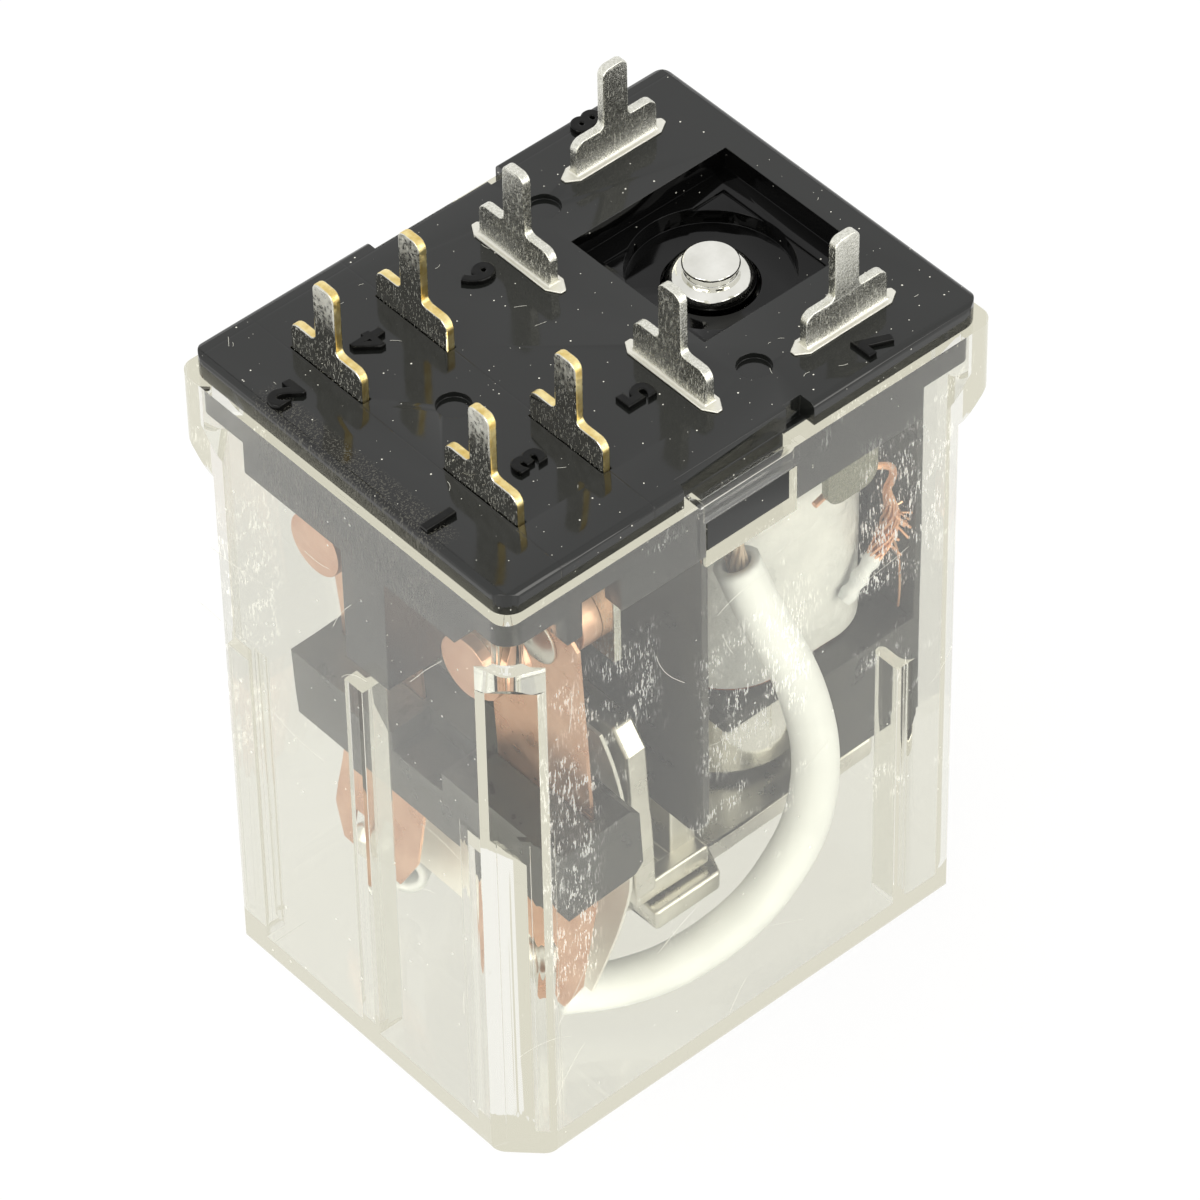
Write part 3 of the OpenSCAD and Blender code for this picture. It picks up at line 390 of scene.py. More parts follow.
def streaks(tree, scale, stretch):
    """Noise drawn out along the directions that are stretched little."""
    drawn = add_node(tree, "Mapping", {"Vector": own_coords(tree), "Scale": stretch}).outputs[0]
    return add_node(tree, "TexNoise", {"Vector": drawn, "Scale": scale, "Detail": 1.0}).outputs["Fac"]


def scuff_mask(tree, x, y, z):
    """Specks on the cover's outer faces, and on the long ones patches of white flecks."""
    end_wall = math_node(tree, "GREATER_THAN", magnitude(tree, x), wall_x - SKIN_MM * MM)
    long_wall = math_node(tree, "GREATER_THAN", magnitude(tree, y), wall_y - SKIN_MM * MM)
    upper = ramp(tree, z, 8 * MM, 10 * MM)
    patches = times(tree, ramp(tree, grain(tree, 260.0, 2.0, 0.65), 0.58, 0.68), upper)
    for middle_x, middle_z, half_x, half_z in SCUFFED_MM:
        handled = times(tree, near_value(tree, x, middle_x, half_x, 1.0),
                        near_value(tree, z, middle_z, half_z, 2.0))
        patches = most(tree, patches, handled)
    clusters = ramp(tree, grain(tree, 800.0, 2.0, 0.65), 0.43, 0.53)
    flecks = group_mask(tree, FLECKS, Scale=9000.0, Cut=0.58, Turn=1.5)
    flecks = times(tree, flecks, patches, clusters, long_wall)
    specks = group_mask(tree, SPECKS, Scale=1500.0, Size=0.09)
    return times(tree, most(tree, flecks, specks), most(tree, end_wall, long_wall))


def mould_lines(tree, x, y, z):
    """Fine drawn lines in the corner posts and in the bars above the latch windows."""
    posts = times(tree, near_value(tree, x, *POST_MM["x"]),
                  near_value(tree, magnitude(tree, y), *POST_MM["y"]),
                  near_value(tree, z, *POST_MM["z"]))
    bars = times(tree, near_value(tree, x, *BAR_MM["x"]), near_value(tree, z, *BAR_MM["z"]))
    return math_node(tree, "ADD", times(tree, posts, streaks(tree, 1700.0, (1, 1, 0.01))),
                     times(tree, bars, streaks(tree, 2600.0, (0.03, 1, 1))))


def clear_plastic():
    material, tree, shader, output = new_material("clear_cover")
    shader.inputs["Base Color"].default_value = (0.875, 0.87, 0.815, 1)
    shader.inputs["Transmission Weight"].default_value = 1.0
    shader.inputs["IOR"].default_value = 1.56
    place = position(tree)
    scuffs = scuff_mask(tree, *place)
    # Painted light: the scuffs give off a faint white glow for the light that they scatter.
    plug(tree, mix_colour(tree, scuffs, (0, 0, 0, 1), SCUFF_PAINTED_LIGHT), shader.inputs["Emission Color"])
    shader.inputs["Emission Strength"].default_value = SCUFF_PAINTED_GLOW
    plug(tree, ramp(tree, scuffs, 0.0, 1.0, 0.015, 0.4), shader.inputs["Roughness"])
    relief = math_node(tree, "ADD", grain(tree, 260.0, 0.0), times(tree, mould_lines(tree, *place), 4.0))
    bump(tree, shader, relief, 0.012)
    path = add_node(tree, "LightPath")
    straight = add_node(tree, "BsdfTransparent", {"Color": (0.93, 0.925, 0.87, 1)})
    lit = add_node(tree, "MixShader", {0: path.outputs["Is Shadow Ray"], 1: shader.outputs[0],
                                       2: straight.outputs[0]})
    # Painted glow: a ray that has bounced long inside the wall gives off cream instead of finding the
    # light.
    inner = add_node(tree, "Emission", {"Color": PAINTED_EDGE_GLOW, "Strength": 0.95})
    trapped = math_node(tree, "GREATER_THAN", path.outputs["Glossy Depth"], TRAPPED_DEPTH)
    late = math_node(tree, "GREATER_THAN", path.outputs["Ray Depth"], LATE_DEPTH)
    whole = add_node(tree, "MixShader", {0: most(tree, trapped, late), 1: lit.outputs[0],
                                         2: inner.outputs[0]})
    tree.links.new(whole.outputs[0], output.inputs["Surface"])
    material.cycles.emission_sampling = "NONE"
    return material


# %% [markdown]
# ## Black mouldings
#
# The base is a satin black moulding that mirrors the terminals softly. It carries dust, three fine
# parting lines, and a rubbed band along the edge at the contact end. The well round the core is
# deep and polished, and it has painted shade: a darker black with a weaker gloss. The bobbin and
# the carrier are a plainer black.

# %% Black finishes
def black_base():
    material, tree, shader, _ = new_material("black_base")
    x, y, _ = position(tree)
    specks = most(tree, group_mask(tree, SPECKS, Scale=3200.0, Size=0.14),
                  group_mask(tree, SPECKS, Scale=1500.0, Size=0.06))
    band = times(tree, ramp(tree, x, -12.5 * MM, -12.2 * MM, 1.0, 0.0),
                 ramp(tree, magnitude(tree, y), 5.4 * MM, 6.4 * MM, 1.0, 0.0))
    rub = times(tree, band, group_mask(tree, FLECKS, Scale=11000.0, Cut=0.58))
    lines = most(tree, near_value(tree, x, -10.45, 0.02), near_value(tree, x, -5.3, 0.02),
                 near_value(tree, y, 9.6, 0.02))
    ground = mix_colour(tree, times(tree, lines, 0.7), rgb(27, 28, 27), rgb(12, 12, 12))
    ground = mix_colour(tree, band, ground, rgb(20, 20, 19))
    ground = mix_colour(tree, times(tree, rub, 0.45), ground, rgb(100, 99, 92))
    plug(tree, mix_colour(tree, specks, ground, rgb(214, 213, 206)), shader.inputs["Base Color"])
    satin = ramp(tree, grain(tree, 420.0, 4.0), 0.35, 0.7, 0.07, 0.12)
    rough = most(tree, satin, times(tree, rub, 0.5), times(tree, specks, 0.9))
    plug(tree, rough, shader.inputs["Roughness"])
    relief = math_node(tree, "ADD", times(tree, grain(tree, 1500.0, 3.0), 0.4), specks)
    bump(tree, shader, math_node(tree, "SUBTRACT", relief, lines), 0.006)
    return material


def black_moulding():
    material, tree, shader, _ = new_material("black_moulding")
    tone = ramp(tree, grain(tree, 700.0, 4.0), 0.3, 0.7)
    plug(tree, mix_colour(tree, tone, rgb(50, 50, 49), rgb(68, 68, 65)), shader.inputs["Base Color"])
    plug(tree, ramp(tree, tone, 0.0, 1.0, 0.25, 0.42), shader.inputs["Roughness"])
    bump(tree, shader, grain(tree, 2600.0, 3.0), 0.008)
    return material


# Painted shade: the well is a darker black with a weaker gloss than the base, for the shade that falls in
# it.
def well_painted_shade():
    material, tree, shader, _ = new_material("well_painted_shade")
    specks = group_mask(tree, SPECKS, Scale=2000.0, Size=0.1)
    plug(tree, mix_colour(tree, specks, rgb(13, 13, 13), rgb(190, 189, 182)), shader.inputs["Base Color"])
    plug(tree, ramp(tree, specks, 0.0, 1.0, 0.07, 0.9), shader.inputs["Roughness"])
    shader.inputs["Specular IOR Level"].default_value = 0.25
    bump(tree, shader, grain(tree, 300.0, 2.0), 0.01)
    return material


# Painted shade: the raised numbers are a darker black with a weaker gloss than the base they are moulded
# in, for their rounded tops.
def number_black_painted_shade():
    material, tree, shader, _ = new_material("raised_number_painted_shade")
    tone = ramp(tree, grain(tree, 1800.0, 3.0), 0.3, 0.7)
    plug(tree, mix_colour(tree, tone, rgb(14, 14, 14), rgb(24, 24, 23)), shader.inputs["Base Color"])
    plug(tree, ramp(tree, tone, 0.0, 1.0, 0.05, 0.12), shader.inputs["Roughness"])
    shader.inputs["Specular IOR Level"].default_value = 0.2
    bump(tree, shader, grain(tree, 3000.0, 2.0), 0.006)
    return material


# %% [markdown]
# ## Metals
#
# One recipe covers most of them: a metal colour that drifts a little, roughness that varies, and
# fine scratches. The switching terminals are stamped from plated sheet, so their flat faces are
# silver and their cut edges show brass. The direction of the surface tells the two apart.

# %% Metal finishes
def metal(name, dark, light, rough=(0.2, 0.4), scratch_cut=0.66, scratch_scale=9000.0, relief_mm=0.004):
    """A metal whose colour and gloss vary over the surface, with fine scratches."""
    material, tree, shader, _ = new_material(name)
    shader.inputs["Metallic"].default_value = 1.0
    tone = ramp(tree, grain(tree, 600.0, 4.0), 0.32, 0.68)
    scratches = group_mask(tree, SCRATCHES, Scale=scratch_scale, Cut=scratch_cut)
    plug(tree, mix_colour(tree, tone, dark, light), shader.inputs["Base Color"])
    gloss = ramp(tree, tone, 0.0, 1.0, *rough)
    plug(tree, most(tree, gloss, times(tree, scratches, 0.55)), shader.inputs["Roughness"])
    bump(tree, shader, math_node(tree, "SUBTRACT", grain(tree, 2400.0, 3.0), scratches), relief_mm)
    return material


def plated_brass():
    material, tree, shader, _ = new_material("plated_brass")
    shader.inputs["Metallic"].default_value = 1.0
    facing = add_node(tree, "SeparateXYZ", {"Vector": add_node(tree, "TexCoord").outputs["Normal"]})
    face = ramp(tree, magnitude(tree, facing.outputs["X"]), 0.5, 0.7)
    z = position(tree)[2]
    plated = most(tree, face, ramp(tree, z, 35.4 * MM, 35.7 * MM, 1.0, 0.0))
    tip = ramp(tree, z, 37.8 * MM, 40.4 * MM)
    tone = ramp(tree, grain(tree, 1800.0, 5.0), 0.3, 0.7)
    silver = mix_colour(tree, tone, rgb(200, 198, 186), rgb(228, 227, 217))
    brass = mix_colour(tree, tone, rgb(214, 184, 106), rgb(255, 238, 178))
    plug(tree, mix_colour(tree, plated, brass, silver), shader.inputs["Base Color"])
    flecks = group_mask(tree, FLECKS, Scale=17000.0, Cut=0.635)
    brushed = times(tree, tip, ramp(tree, grain(tree, 5000.0, 3.0), 0.35, 0.6, 0.15, 0.55))
    plain = ramp(tree, tone, 0.0, 1.0, 0.05, 0.11)
    cut_edge = ramp(tree, plated, 0.0, 1.0, 0.34, 0.0)
    rough = most(tree, plain, brushed, times(tree, flecks, 0.5), cut_edge)
    plug(tree, rough, shader.inputs["Roughness"])
    bump(tree, shader, math_node(tree, "ADD", flecks, times(tree, grain(tree, 3000.0, 3.0), 0.5)), 0.009)
    return material


def tinned_metal():
    material, tree, shader, _ = new_material("tinned_metal")
    shader.inputs["Metallic"].default_value = 1.0
    z = position(tree)[2]
    foot = near_value(tree, z, 36.05, 0.12, 0.1)
    tone = ramp(tree, grain(tree, 9000.0, 4.0, 0.7), 0.3, 0.7)
    tin = mix_colour(tree, tone, rgb(198, 197, 184), rgb(242, 241, 232))
    tin = mix_colour(tree, ramp(tree, z, 34.8 * MM, 35.2 * MM), rgb(150, 150, 134), tin)
    plug(tree, mix_colour(tree, foot, tin, rgb(234, 232, 221)), shader.inputs["Base Color"])
    flecks = group_mask(tree, FLECKS, Scale=13000.0, Cut=0.62)
    plain = ramp(tree, tone, 0.0, 1.0, 0.16, 0.32)
    rough = most(tree, plain, times(tree, foot, 0.45), times(tree, flecks, 0.5))
    plug(tree, rough, shader.inputs["Roughness"])
    bump(tree, shader, math_node(tree, "SUBTRACT", tone, flecks), 0.008)
    return material


# %% [markdown]
# ## Soft and white finishes
#
# The lead sleeves are a matt white rubbery tube. The tape is a smooth white film with faint
# wrinkles. Both stay a little off white, because pure white leaves no room for shading.

# %% White finishes
def white_sleeve():
    material, tree, shader, _ = new_material("white_sleeve")
    tone = ramp(tree, grain(tree, 500.0, 4.0), 0.3, 0.7)
    plug(tree, mix_colour(tree, tone, rgb(230, 233, 236), rgb(238, 241, 244)), shader.inputs["Base Color"])
    shader.inputs["Roughness"].default_value = 0.5
    bump(tree, shader, grain(tree, 1800.0, 4.0), 0.012)
    return material


def white_tape():
    material, tree, shader, _ = new_material("white_tape")
    tone = ramp(tree, grain(tree, 350.0, 4.0), 0.3, 0.7)
    plug(tree, mix_colour(tree, tone, rgb(206, 208, 209), rgb(236, 237, 237)), shader.inputs["Base Color"])
    plug(tree, ramp(tree, tone, 0.0, 1.0, 0.25, 0.4), shader.inputs["Roughness"])
    bump(tree, shader, grain(tree, 330.0, 5.0, 0.6), 0.35)
    return material


def dust():
    material, tree, shader, _ = new_material("dust")
    tone = grain(tree, 3000.0, 2.0)
    plug(tree, mix_colour(tree, tone, rgb(176, 175, 168), rgb(236, 235, 228)), shader.inputs["Base Color"])
    shader.inputs["Roughness"].default_value = 0.9
    return material


def winding_wire():
    material, tree, shader, _ = new_material("winding_wire")
    # Painted shade: the copper is darker where the bands dip, in the grooves between the turns.
    turns = add_node(tree, "TexWave", {"Vector": own_coords(tree), "Scale": 1600.0, "Distortion": 0.6},
                     bands_direction="Z").outputs["Fac"]
    plug(tree, mix_colour(tree, turns, rgb(92, 44, 24), rgb(190, 112, 66)), shader.inputs["Base Color"])
    shader.inputs["Metallic"].default_value = 0.7
    shader.inputs["Roughness"].default_value = 0.35
    bump(tree, shader, turns, 0.05)
    return material


FINISHES = {
    "clear_cover": clear_plastic(),
    "black_base": black_base(),
    "plated_brass": plated_brass(),
    "tinned_metal": tinned_metal(),
    "contact_copper": metal("contact_copper", rgb(222, 170, 142), rgb(242, 202, 178), (0.3, 0.45)),
    "contact_silver": metal("contact_silver", rgb(206, 205, 198), rgb(228, 227, 220), (0.25, 0.4)),
    "nickel_steel": metal("nickel_steel", rgb(216, 213, 203), rgb(236, 234, 225), (0.24, 0.36), 0.72,
                          relief_mm=0.0015),
    "polished_core": metal("polished_core", rgb(216, 215, 207), rgb(236, 235, 228), (0.06, 0.13), 0.74,
                           relief_mm=0.0006),
    "spring_steel": metal("spring_steel", rgb(240, 239, 233), rgb(250, 249, 245), (0.48, 0.6)),
    "black_moulding": black_moulding(),
    "winding": winding_wire(),
    "white_tape": white_tape(),
    "spring_copper": metal("spring_copper", rgb(214, 164, 134), rgb(238, 196, 168), (0.24, 0.4)),
    "solder": metal("solder", rgb(226, 225, 218), rgb(244, 243, 238), (0.3, 0.5), 0.7, 6000.0, 0.012),
    "white_sleeve": white_sleeve(),
    "bare_wire": metal("bare_wire", rgb(226, 164, 128), rgb(248, 206, 174), (0.3, 0.5)),
    "raised_number": number_black_painted_shade(),
    "dust": dust(),
    "well": well_painted_shade(),
    "tinned_strand": metal("tinned_strand", rgb(190, 168, 148), rgb(226, 210, 192), (0.3, 0.5)),
}
print(len(FINISHES), "finishes")

# %% [markdown]
# ## Broken edges
#
# No moulded or stamped edge is perfectly sharp, and the thin bright line along it is what makes a
# part look real. A copy of each rigid piece is merged, its flat triangles are dissolved into whole
# faces, and a bevel of a few hundredths of a millimetre breaks its edges. Hardened normals keep the
# flats beside the bevel flat. The armature and the yoke are bent from thick sheet and have rounder
# edges: there only the outer edges are bevelled, and points that the wide bevel pushes out of the
# solid go back to its surface. The copy then stands for the piece and moves with the same body.

# %% Dress the rigid pieces
SHARP = math.radians(35)
FLAT = math.radians(0.6)
MERGE_MM = 0.002
STRAY_MM = 0.01
STAMPED_MM = 0.11
LUG_OUT_MM = 10.3
LUG_TOP_MM = 34.0
LUG_FACE_MM = 10.5
LUG_MIDDLE_MM = 33.0
LUG_FOOT_MM = 31.7


def square_lugs(mesh):
    """Brings the latch lugs' flat faces down and out, as the photo shows them in their windows."""
    for v in mesh.vertices:
        if abs(v.co.y) > LUG_OUT_MM * MM and v.co.z < LUG_TOP_MM * MM:
            v.co.y = math.copysign(LUG_FACE_MM * MM, v.co.y)
            v.co.z = LUG_FOOT_MM * MM if v.co.z < LUG_MIDDLE_MM * MM else v.co.z


def keep_within(mesh, solid):
    """Puts points that a wide bevel pushed out of the solid back on its surface."""
    surface = BVHTree.FromPolygons([v.co for v in solid.vertices], [f.vertices for f in solid.polygons])
    for v in mesh.vertices:
        place, normal, _, _ = surface.find_nearest(v.co)
        if (v.co - place).dot(normal) > STRAY_MM * MM:
            v.co = place


def mark_outer_edges(mesh):
    """Gives the sharp outer edges a bevel weight, and leaves inner corners as they are."""
    work = bmesh.new()
    work.from_mesh(mesh)
    weight = work.edges.layers.float.new("bevel_weight_edge")
    for edge in work.edges:
        if edge.is_manifold and edge.is_convex and edge.calc_face_angle() > SHARP:
            edge[weight] = 1.0
    work.to_mesh(mesh)
    work.free()


def dress(node, edge_mm):
    """Stands a copy with broken edges in for a rigid piece."""
    stamped = edge_mm > STAMPED_MM
    piece = bpy.data.objects.new(node + "_dressed", nodes[node].data.copy())
    bpy.context.scene.collection.objects.link(piece)
    select_only(piece)
    bpy.ops.object.mode_set(mode="EDIT")
    bpy.ops.mesh.select_all(action="SELECT")
    bpy.ops.mesh.remove_doubles(threshold=MERGE_MM * MM)
    bpy.ops.mesh.dissolve_limited(angle_limit=FLAT)
    bpy.ops.object.mode_set(mode="OBJECT")
    if node == "base":
        square_lugs(piece.data)
    bpy.ops.object.shade_smooth_by_angle(angle=SHARP)
    edges = piece.modifiers.new("edges", "BEVEL")
    edges.width = edge_mm * MM
    edges.segments = 3 if stamped else 2
    edges.limit_method = "WEIGHT" if stamped else "ANGLE"
    edges.use_clamp_overlap = not stamped
    edges.angle_limit = SHARP
    edges.harden_normals = True
    if stamped:
        mark_outer_edges(piece.data)
    bpy.ops.object.modifier_apply(modifier="edges")
    if stamped:
        keep_within(piece.data, nodes[node].data)
    hand_over(piece, body_of_node[node], slot_of_node[node], node)
    return piece


def hand_over(piece, body, slot, *stands_for, finish=None):
    """Gives a piece its finish and the body that it moves with if it has just one, and hides what it stands
    for.
    """
    piece.data.materials.clear()
    piece.data.materials.append(FINISHES[finish or slot])
    if body:
        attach(piece, body)
    if stands_for:
        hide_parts(*stands_for)


EDGE_MM = {"base": 0.06, "armature": 0.2, "yoke": 0.14, "contact_carrier": 0.08, "bobbin": 0.06,
           "core": 0.05, "return_spring": 0.03, "coil_tape": 0.03}
EDGE_MM.update({f"terminal_{i}": 0.1 for i in range(1, 9)})
EDGE_MM.update({f"moving_spring_{side}": 0.03 for side in SIDES})
EDGE_MM.update({f"{kind}_contact_{side}": 0.05 for kind in ("make", "break", "moving") for side in SIDES})

for name, piece in nodes.items():
    piece.data.materials.clear()
    piece.data.materials.append(FINISHES[slot_of_node[name]])
    select_only(piece)
    bpy.ops.object.shade_smooth_by_angle(angle=math.radians(30))

dressed = {name: dress(name, edge) for name, edge in EDGE_MM.items()}
dressed["core"].data.materials[0] = FINISHES["polished_core"]
print("dressed:", {n: len(p.data.polygons) for n, p in dressed.items()})

# %% [markdown]
# The well round the core gets its own finish of painted shade, darker than the base, face by face:
# a face belongs to the well when its middle lies inside the well's outline and below the base's
# upper face.

# %% Well
WELL_SHIFT_MM = 0.25
WELL_HALF_MM = (4.55, 4.35)
WELL_Z_MM = (31.0, 35.95)
core_low, core_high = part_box("core")
well_x = (core_low[0] + core_high[0]) / 2 + WELL_SHIFT_MM * MM
base_mesh = dressed["base"].data
base_mesh.materials.append(FINISHES["well"])
for face in base_mesh.polygons:
    c = face.center
    within = abs(c.x - well_x) < WELL_HALF_MM[0] * MM and abs(c.y) < WELL_HALF_MM[1] * MM
    if within and WELL_Z_MM[0] * MM < c.z < WELL_Z_MM[1] * MM:
        face.material_index = 1
print(sum(f.material_index for f in base_mesh.polygons), "faces in the well")

# %% [markdown]
# ## Flexible leads
#
# A white sleeve carries a stranded wire from each common terminal down to the foot of its moving
# spring, in a free curve that gives as the armature tilts in the real relay; here the tube stays
# still. A curve with a round bevel is the natural tool for it. The points are those of the frame's
# route, joined by a smooth spline, and Solidify gives the sleeve a wall, so that its ends are open
# as on the real one.

# %% Tubes along a path
LEAD = [(1.5, -7.3, 26.3), (1.9, -7.9, 24.4), (2.7, -8.4, 21.8), (3.7, -8.6, 19), (4.5, -8.6, 16.2),
        (5, -8.6, 13.4), (5, -8.6, 10.8), (4.4, -8.6, 8.5), (3.2, -8.5, 6.6), (1.5, -8.4, 5.2),
        (-0.5, -8, 4.1), (-2.6, -7.4, 3.4), (-4.3, -6.5, 2.9), (-5.7, -5.6, 2.7), (-7, -4.8, 2.8)]
SLEEVE_MM = 2.2
SLEEVE_WALL_MM = 0.4


def smooth_path(points, steps=6):
    """A dense path through the points, by a Catmull-Rom spline."""
    points = [Vector(p) for p in points]
    path = []
    for i in range(len(points) - 1):
        a, b = points[i], points[i + 1]
        before = points[i - 1] if i else a * 2 - b
        after = points[i + 2] if i + 2 < len(points) else b * 2 - a
        for k in range(steps):
            t = k / steps
            path.append(0.5 * (2 * a + (b - before) * t + (2 * before - 5 * a + 4 * b - after) * t ** 2
                               + (3 * a - before - 3 * b + after) * t ** 3))
    return path + [points[-1]]


def tube(name, paths, diameter, sides, taper=None, caps=True):
    """One mesh of round tubes along paths in millimetres. Sides is the round profile's resolution."""
    data = bpy.data.curves.new(name, "CURVE")
    data.dimensions = "3D"
    data.bevel_depth = diameter * MM / 2
    data.bevel_resolution = sides
    data.use_fill_caps = caps
    for path in paths:
        line = data.splines.new("POLY")
        line.points.add(len(path) - 1)
        for i, (spot, p) in enumerate(zip(line.points, path)):
            spot.co = (p[0] * MM, p[1] * MM, p[2] * MM, 1.0)
            spot.radius = taper(i / (len(path) - 1)) if taper else 1.0
    piece = bpy.data.objects.new(name, data)
    bpy.context.scene.collection.objects.link(piece)
    select_only(piece)
    bpy.ops.object.convert(target="MESH")
    bpy.ops.object.shade_smooth_by_angle(angle=math.radians(50))
    return bpy.context.object


def mirrored(path, sign):
    """The near side's path, or its mirror image for the far side."""
    return [Vector((p[0], -sign * p[1], p[2])) for p in path]


def make_sleeve(side, sign):
    path = mirrored(smooth_path(LEAD), sign)
    piece = tube(f"sleeve_{side}", [path], SLEEVE_MM, 6, caps=False)
    wall = piece.modifiers.new("wall", "SOLIDIFY")
    wall.thickness = SLEEVE_WALL_MM * MM
    bpy.ops.object.modifier_apply(modifier="wall")
    hand_over(piece, None, "white_sleeve", f"lead_sleeve_{side}")
    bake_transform(piece)


for side, sign in SIDES.items():
    make_sleeve(side, sign)

# %% [markdown]
# ## Stranded wire
#
# Where the sleeve ends, the bare wire rises to the tab of the common terminal: fine strands with a
# slight twist. Each strand is a thin tube that winds round the wire's own line.

# %% Bare wire at the common terminals
STRAND_MM = 0.24
WIRE = [(2.0, -8.1, 23.8), (1.55, -7.35, 26.2), (1.35, -7.15, 27.6), (1.3, -7.1, 29), (1.3, -7.1, 30.6)]


def strands(path, count, spread, turns):
    """Paths of strands that wind round a middle path. The spread is one radius, or one for each point."""
    lines = []
    spread = spread if isinstance(spread, list) else [spread] * len(path)
    for k in range(count):
        line = []
        for i, p in enumerate(path):
            t = i / (len(path) - 1)
            along = (path[min(i + 1, len(path) - 1)] - path[max(i - 1, 0)]).normalized()
            side = along.cross(Vector((0.13, 1, 0.2))).normalized()
            angle = 2 * math.pi * (k / count + turns * t)
            line.append(p + spread[i] * (math.cos(angle) * side + math.sin(angle) * along.cross(side)))
        lines.append(line)
    return lines


for side, sign in SIDES.items():
    path = mirrored(smooth_path(WIRE, 5), sign)
    lines = strands(path, 9, 0.4, 0.7) + strands(path, 4, 0.18, 0.5) + [path]
    piece = tube(f"stranded_wire_{side}", lines, STRAND_MM, 1)
    hand_over(piece, "frame", "bare_wire", f"lead_wire_{side}", finish="tinned_strand")
    print(piece.name, len(lines), "strands,", len(piece.data.polygons), "faces")

# %% [markdown]
# ## Solder at the springs' tails
#
# Below the carrier, the lead's bare end leaves the sleeve and rises to the slit in the spring's
# tail, where a drop of solder holds it. One tube does both: its radius swells at the slit and
# closes above it. It moves with the armature.

# %% Solder drops
DROP = [(-6.2, -5.3, 2.7), (-7.0, -4.95, 3.0), (-7.5, -5, 4.1), (-7.85, -5, 5.2), (-8.15, -5, 6.1),
        (-8.4, -5, 6.9), (-8.5, -5, 7.3)]
DROP_SWELL = [0.42, 0.42, 0.5, 0.74, 1.0, 0.7, 0.08]
DROP_MM = 1.8


def between(values, t):
    """A value read off an even list, t from 0 to 1."""
    place = t * (len(values) - 1)
    low = min(int(place), len(values) - 2)
    return values[low] + (values[low + 1] - values[low]) * (place - low)


for side, sign in SIDES.items():
    piece = tube(f"solder_drop_{side}", [mirrored(smooth_path(DROP), sign)], DROP_MM, 6,
                 taper=lambda t: between(DROP_SWELL, t))
    hand_over(piece, "armature_set", "solder", f"lead_solder_{side}")
print("solder drops", DROP_MM, "mm wide")

# %% [markdown]
# ## Coil leads
#
# Each end of the winding is spliced to a few strands that run behind the coil terminal's leg,
# come round its edge and hang in a loose bunch. The splice on the tape is a white sheathed end.
# Strands wind round a middle line, wide in the bunch and tight at the leg, and a seeded handful
# of short ones fray out of it.

# %% Coil leads
COIL_WIRE = [(10.7, -6.15, 19.4), (11.4, -6.2, 20.4), (11.6, -6.35, 21.6), (11.3, -6.55, 22.9),
             (11.0, -6.7, 24.0), (11.15, -6.9, 24.9), (10.85, -7.0, 25.7), (9.8, -6.85, 26.2),
             (8.2, -6.75, 26.4), (6.5, -6.85, 26.1)]
WIRE_SPREAD = [0.3, 0.42, 0.4, 0.24, 0.14, 0.12, 0.12, 0.1, 0.1, 0.1]
SPLICE = [(9.0, -6.1, 17.9), (9.6, -6.15, 18.4), (10.2, -6.15, 19.0), (10.9, -6.15, 19.6)]
THREAD = [(11.5, -6.3, 20.9), (12.0, -6.25, 19.6), (12.3, -6.2, 18.2), (12.35, -6.2, 16.6),
          (12.3, -6.2, 15.4)]
FINE_MM = 0.13
SPLICE_MM = 0.85
FRAYED = 16
BUNCH_POINTS = 14
COIL_SEED = 7


def frayed(path, count, rng):
    """Short strands that leave a path to all sides."""
    lines = []
    for _ in range(count):
        start = rng.choice(path)
        out = Vector((rng.uniform(-0.5, 1.0), rng.uniform(-0.8, 0.1), rng.uniform(-0.9, 0.5))).normalized()
        bend = Vector((rng.uniform(-0.3, 0.3), rng.uniform(-0.2, 0.1), rng.uniform(-0.4, 0.1)))
        reach = rng.uniform(0.5, 1.0)
        lines.append([start + out * reach * t + bend * t * t for t in (0.0, 0.3, 0.6, 1.0)])
    return lines


for side, sign in SIDES.items():
    rng = random.Random(COIL_SEED + sign)
    middle = smooth_path(COIL_WIRE, 5)
    spread = [between(WIRE_SPREAD, i / (len(middle) - 1)) for i in range(len(middle))]
    lines = strands(middle, 9, spread, 1.6) + strands(middle, 5, [v * 0.5 for v in spread], 1.2) + [middle]
    lines += frayed(middle[:BUNCH_POINTS], FRAYED, rng) + [smooth_path(THREAD, 4)]
    wire = tube(f"coil_wire_{side}", [mirrored(line, sign) for line in lines], FINE_MM, 1)
    hand_over(wire, "frame", "bare_wire", f"coil_lead_{side}")
    splice = tube(f"coil_splice_{side}", [mirrored(smooth_path(SPLICE), sign)], SPLICE_MM, 4,
                  taper=lambda t: 0.75 + 0.25 * math.sin(9 * t) ** 2)
    hand_over(splice, "frame", "white_sleeve")
    print(wire.name, len(lines), "strands;", splice.name)

# %% [markdown]
# ## Dust and hairs
#
# The close view shows lint on the base and fine bright hairs on the cover. Each is a short random
# walk in its plane, drawn as a thread a few hundredths of a millimetre thick. The seeds are fixed,
# so that every run gives the same dust.

# %% Hairs
DUST_SEED = 11
HAIR_STEPS = 10
LINT_MM = 0.016
LINT_Z_MM = 36.02
HAIR_MM = 0.022
HAIR_X_MM = -14.005
HAIR_Y_MM = -10.705
WELL_MIDDLE_MM = 7.1
WELL_CLEAR_MM = 5.4


def hair(rng, length, curl):
    """A flat random walk from the origin, as pairs of millimetres."""
    heading, turn = rng.uniform(0, 2 * math.pi), rng.uniform(-curl, curl)
    u = v = 0.0
    walk = [(u, v)]
    for _ in range(HAIR_STEPS):
        heading += turn + rng.uniform(-curl, curl) * 0.5
        u += length / HAIR_STEPS * math.cos(heading)
        v += length / HAIR_STEPS * math.sin(heading)
        walk.append((u, v))
    return walk


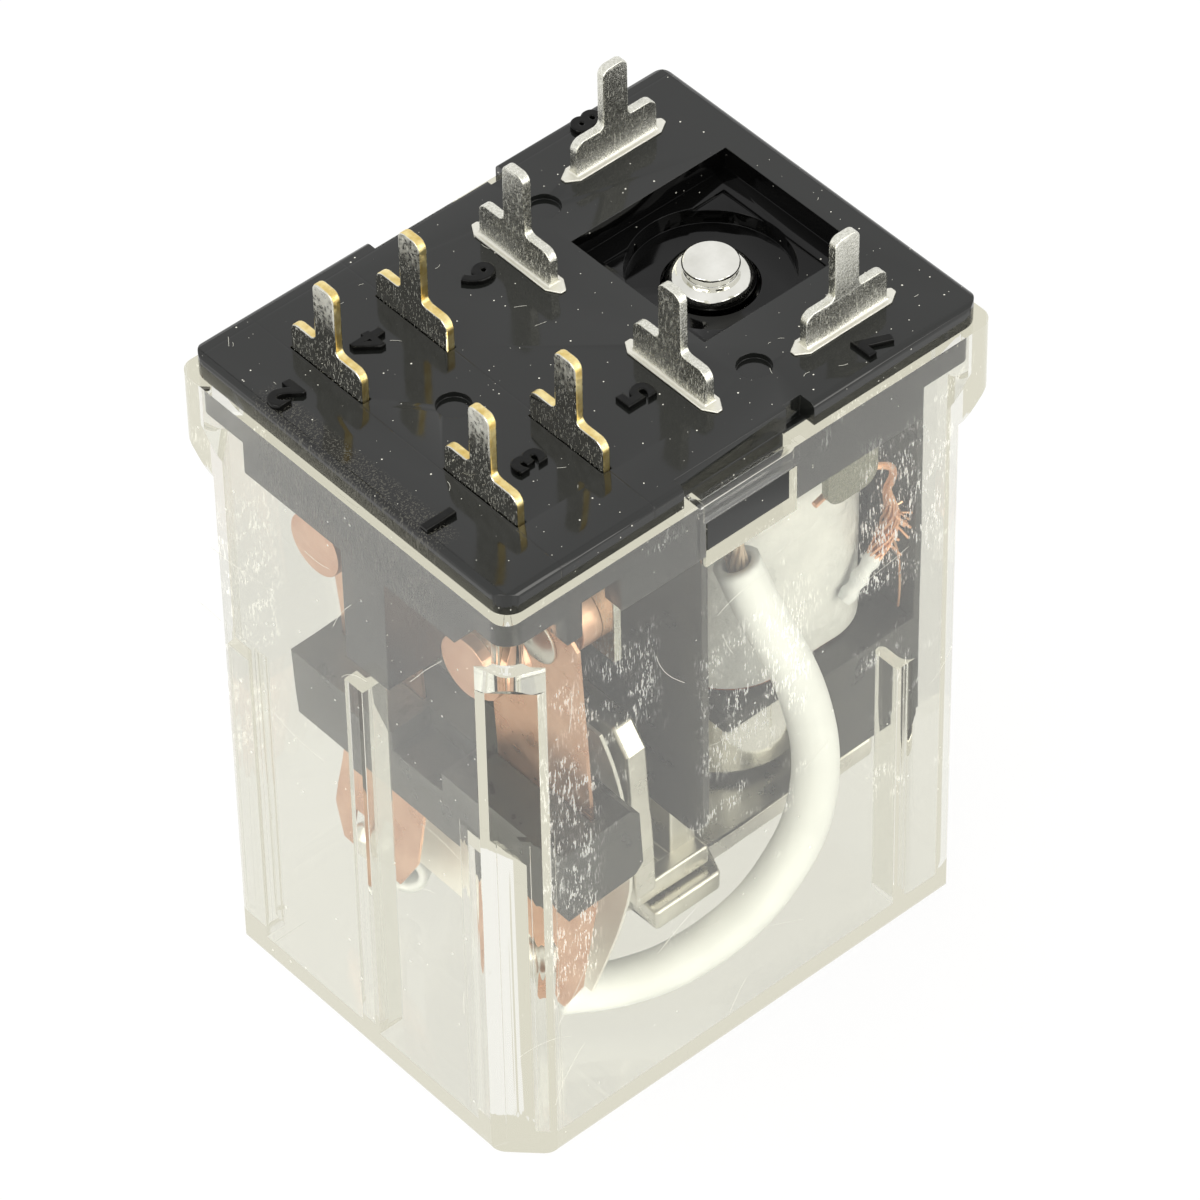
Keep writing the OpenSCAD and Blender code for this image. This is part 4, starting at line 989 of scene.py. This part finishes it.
def on_base(rng):
    x, y = rng.uniform(-13, 13), rng.uniform(-10, 10)
    walk = hair(rng, rng.uniform(0.15, 0.6), 0.12)
    return [Vector((x + u, y + v, LINT_Z_MM)) for u, v in walk]


def on_long_side(rng):
    x, z = rng.uniform(-12, 12.5), rng.uniform(3, 30)
    walk = hair(rng, rng.uniform(0.8, 4.0), 0.08)
    return [Vector((x + u, HAIR_Y_MM, z + v)) for u, v in walk]


def on_contact_end(rng):
    y, z = rng.uniform(-9, 9), rng.uniform(3, 30)
    walk = hair(rng, rng.uniform(0.8, 4.0), 0.08)
    return [Vector((HAIR_X_MM, y + u, z + v)) for u, v in walk]


def clear_of_well(line):
    return all(abs(p.x - WELL_MIDDLE_MM) > WELL_CLEAR_MM or abs(p.y) > WELL_CLEAR_MM for p in line)


rng = random.Random(DUST_SEED)
lint = [line for line in (on_base(rng) for _ in range(30)) if clear_of_well(line)]
piece = tube("base_lint", lint, LINT_MM, 0)
hand_over(piece, "frame", "black_base", finish="dust")
hairs = [on_long_side(rng) for _ in range(16)] + [on_contact_end(rng) for _ in range(10)]
piece = tube("cover_hairs", hairs, HAIR_MM, 0)
hand_over(piece, "frame", "clear_cover", finish="dust")
print(len(lint), "bits of lint,", len(hairs), "hairs")

# %% [markdown]
# ## Moulded numbers
#
# The terminals are numbered 1 to 8 by raised strokes on the base, to be read from the coil end.
# A text object gives the strokes, a little extrusion lifts them, and a small bevel rounds them.
# Text becomes a mesh before its place is applied.

# %% Raised numbers
NUMBER_AT = {"1": (-12.48, -4.91), "2": (-12.44, 5.22), "3": (-7.43, -4.76), "4": (-7.6, 5.23),
             "5": (-1.39, -4.86), "6": (-1.45, 5.29), "7": (8.23, -9.31), "8": (8.5, 9.5)}
NUMBER_MM = 1.45
NUMBER_RISE_MM = 0.22
NUMBER_SUNK_MM = 0.03
NUMBER_ROUND_MM = 0.07
STROKE_MM = 0.05
FIGURE_SHARE = 0.72
base_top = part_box("base")[1][2]


def make_number(text, x, y):
    data = bpy.data.curves.new("number_" + text, "FONT")
    data.body = text
    data.size = NUMBER_MM / FIGURE_SHARE * MM
    data.align_x = "CENTER"
    data.align_y = "CENTER"
    data.offset = STROKE_MM * MM
    data.extrude = NUMBER_RISE_MM / 2 * MM
    data.bevel_depth = NUMBER_ROUND_MM * MM
    data.bevel_resolution = 2
    piece = bpy.data.objects.new("number_" + text, data)
    bpy.context.scene.collection.objects.link(piece)
    select_only(piece)
    bpy.ops.object.convert(target="MESH")
    piece = bpy.context.object
    middle = base_top + (NUMBER_RISE_MM / 2 - NUMBER_SUNK_MM) * MM
    piece.matrix_world = (Matrix.Translation((x * MM, y * MM, middle))
                          @ Matrix.Rotation(math.radians(90), 4, "Z"))
    bpy.ops.object.transform_apply(location=True, rotation=True, scale=True)
    bpy.ops.object.shade_smooth_by_angle(angle=math.radians(40))
    hand_over(piece, "frame", "black_base", finish="raised_number")


for text, (x, y) in NUMBER_AT.items():
    make_number(text, x, y)
print("numbers rise", NUMBER_RISE_MM, "mm")
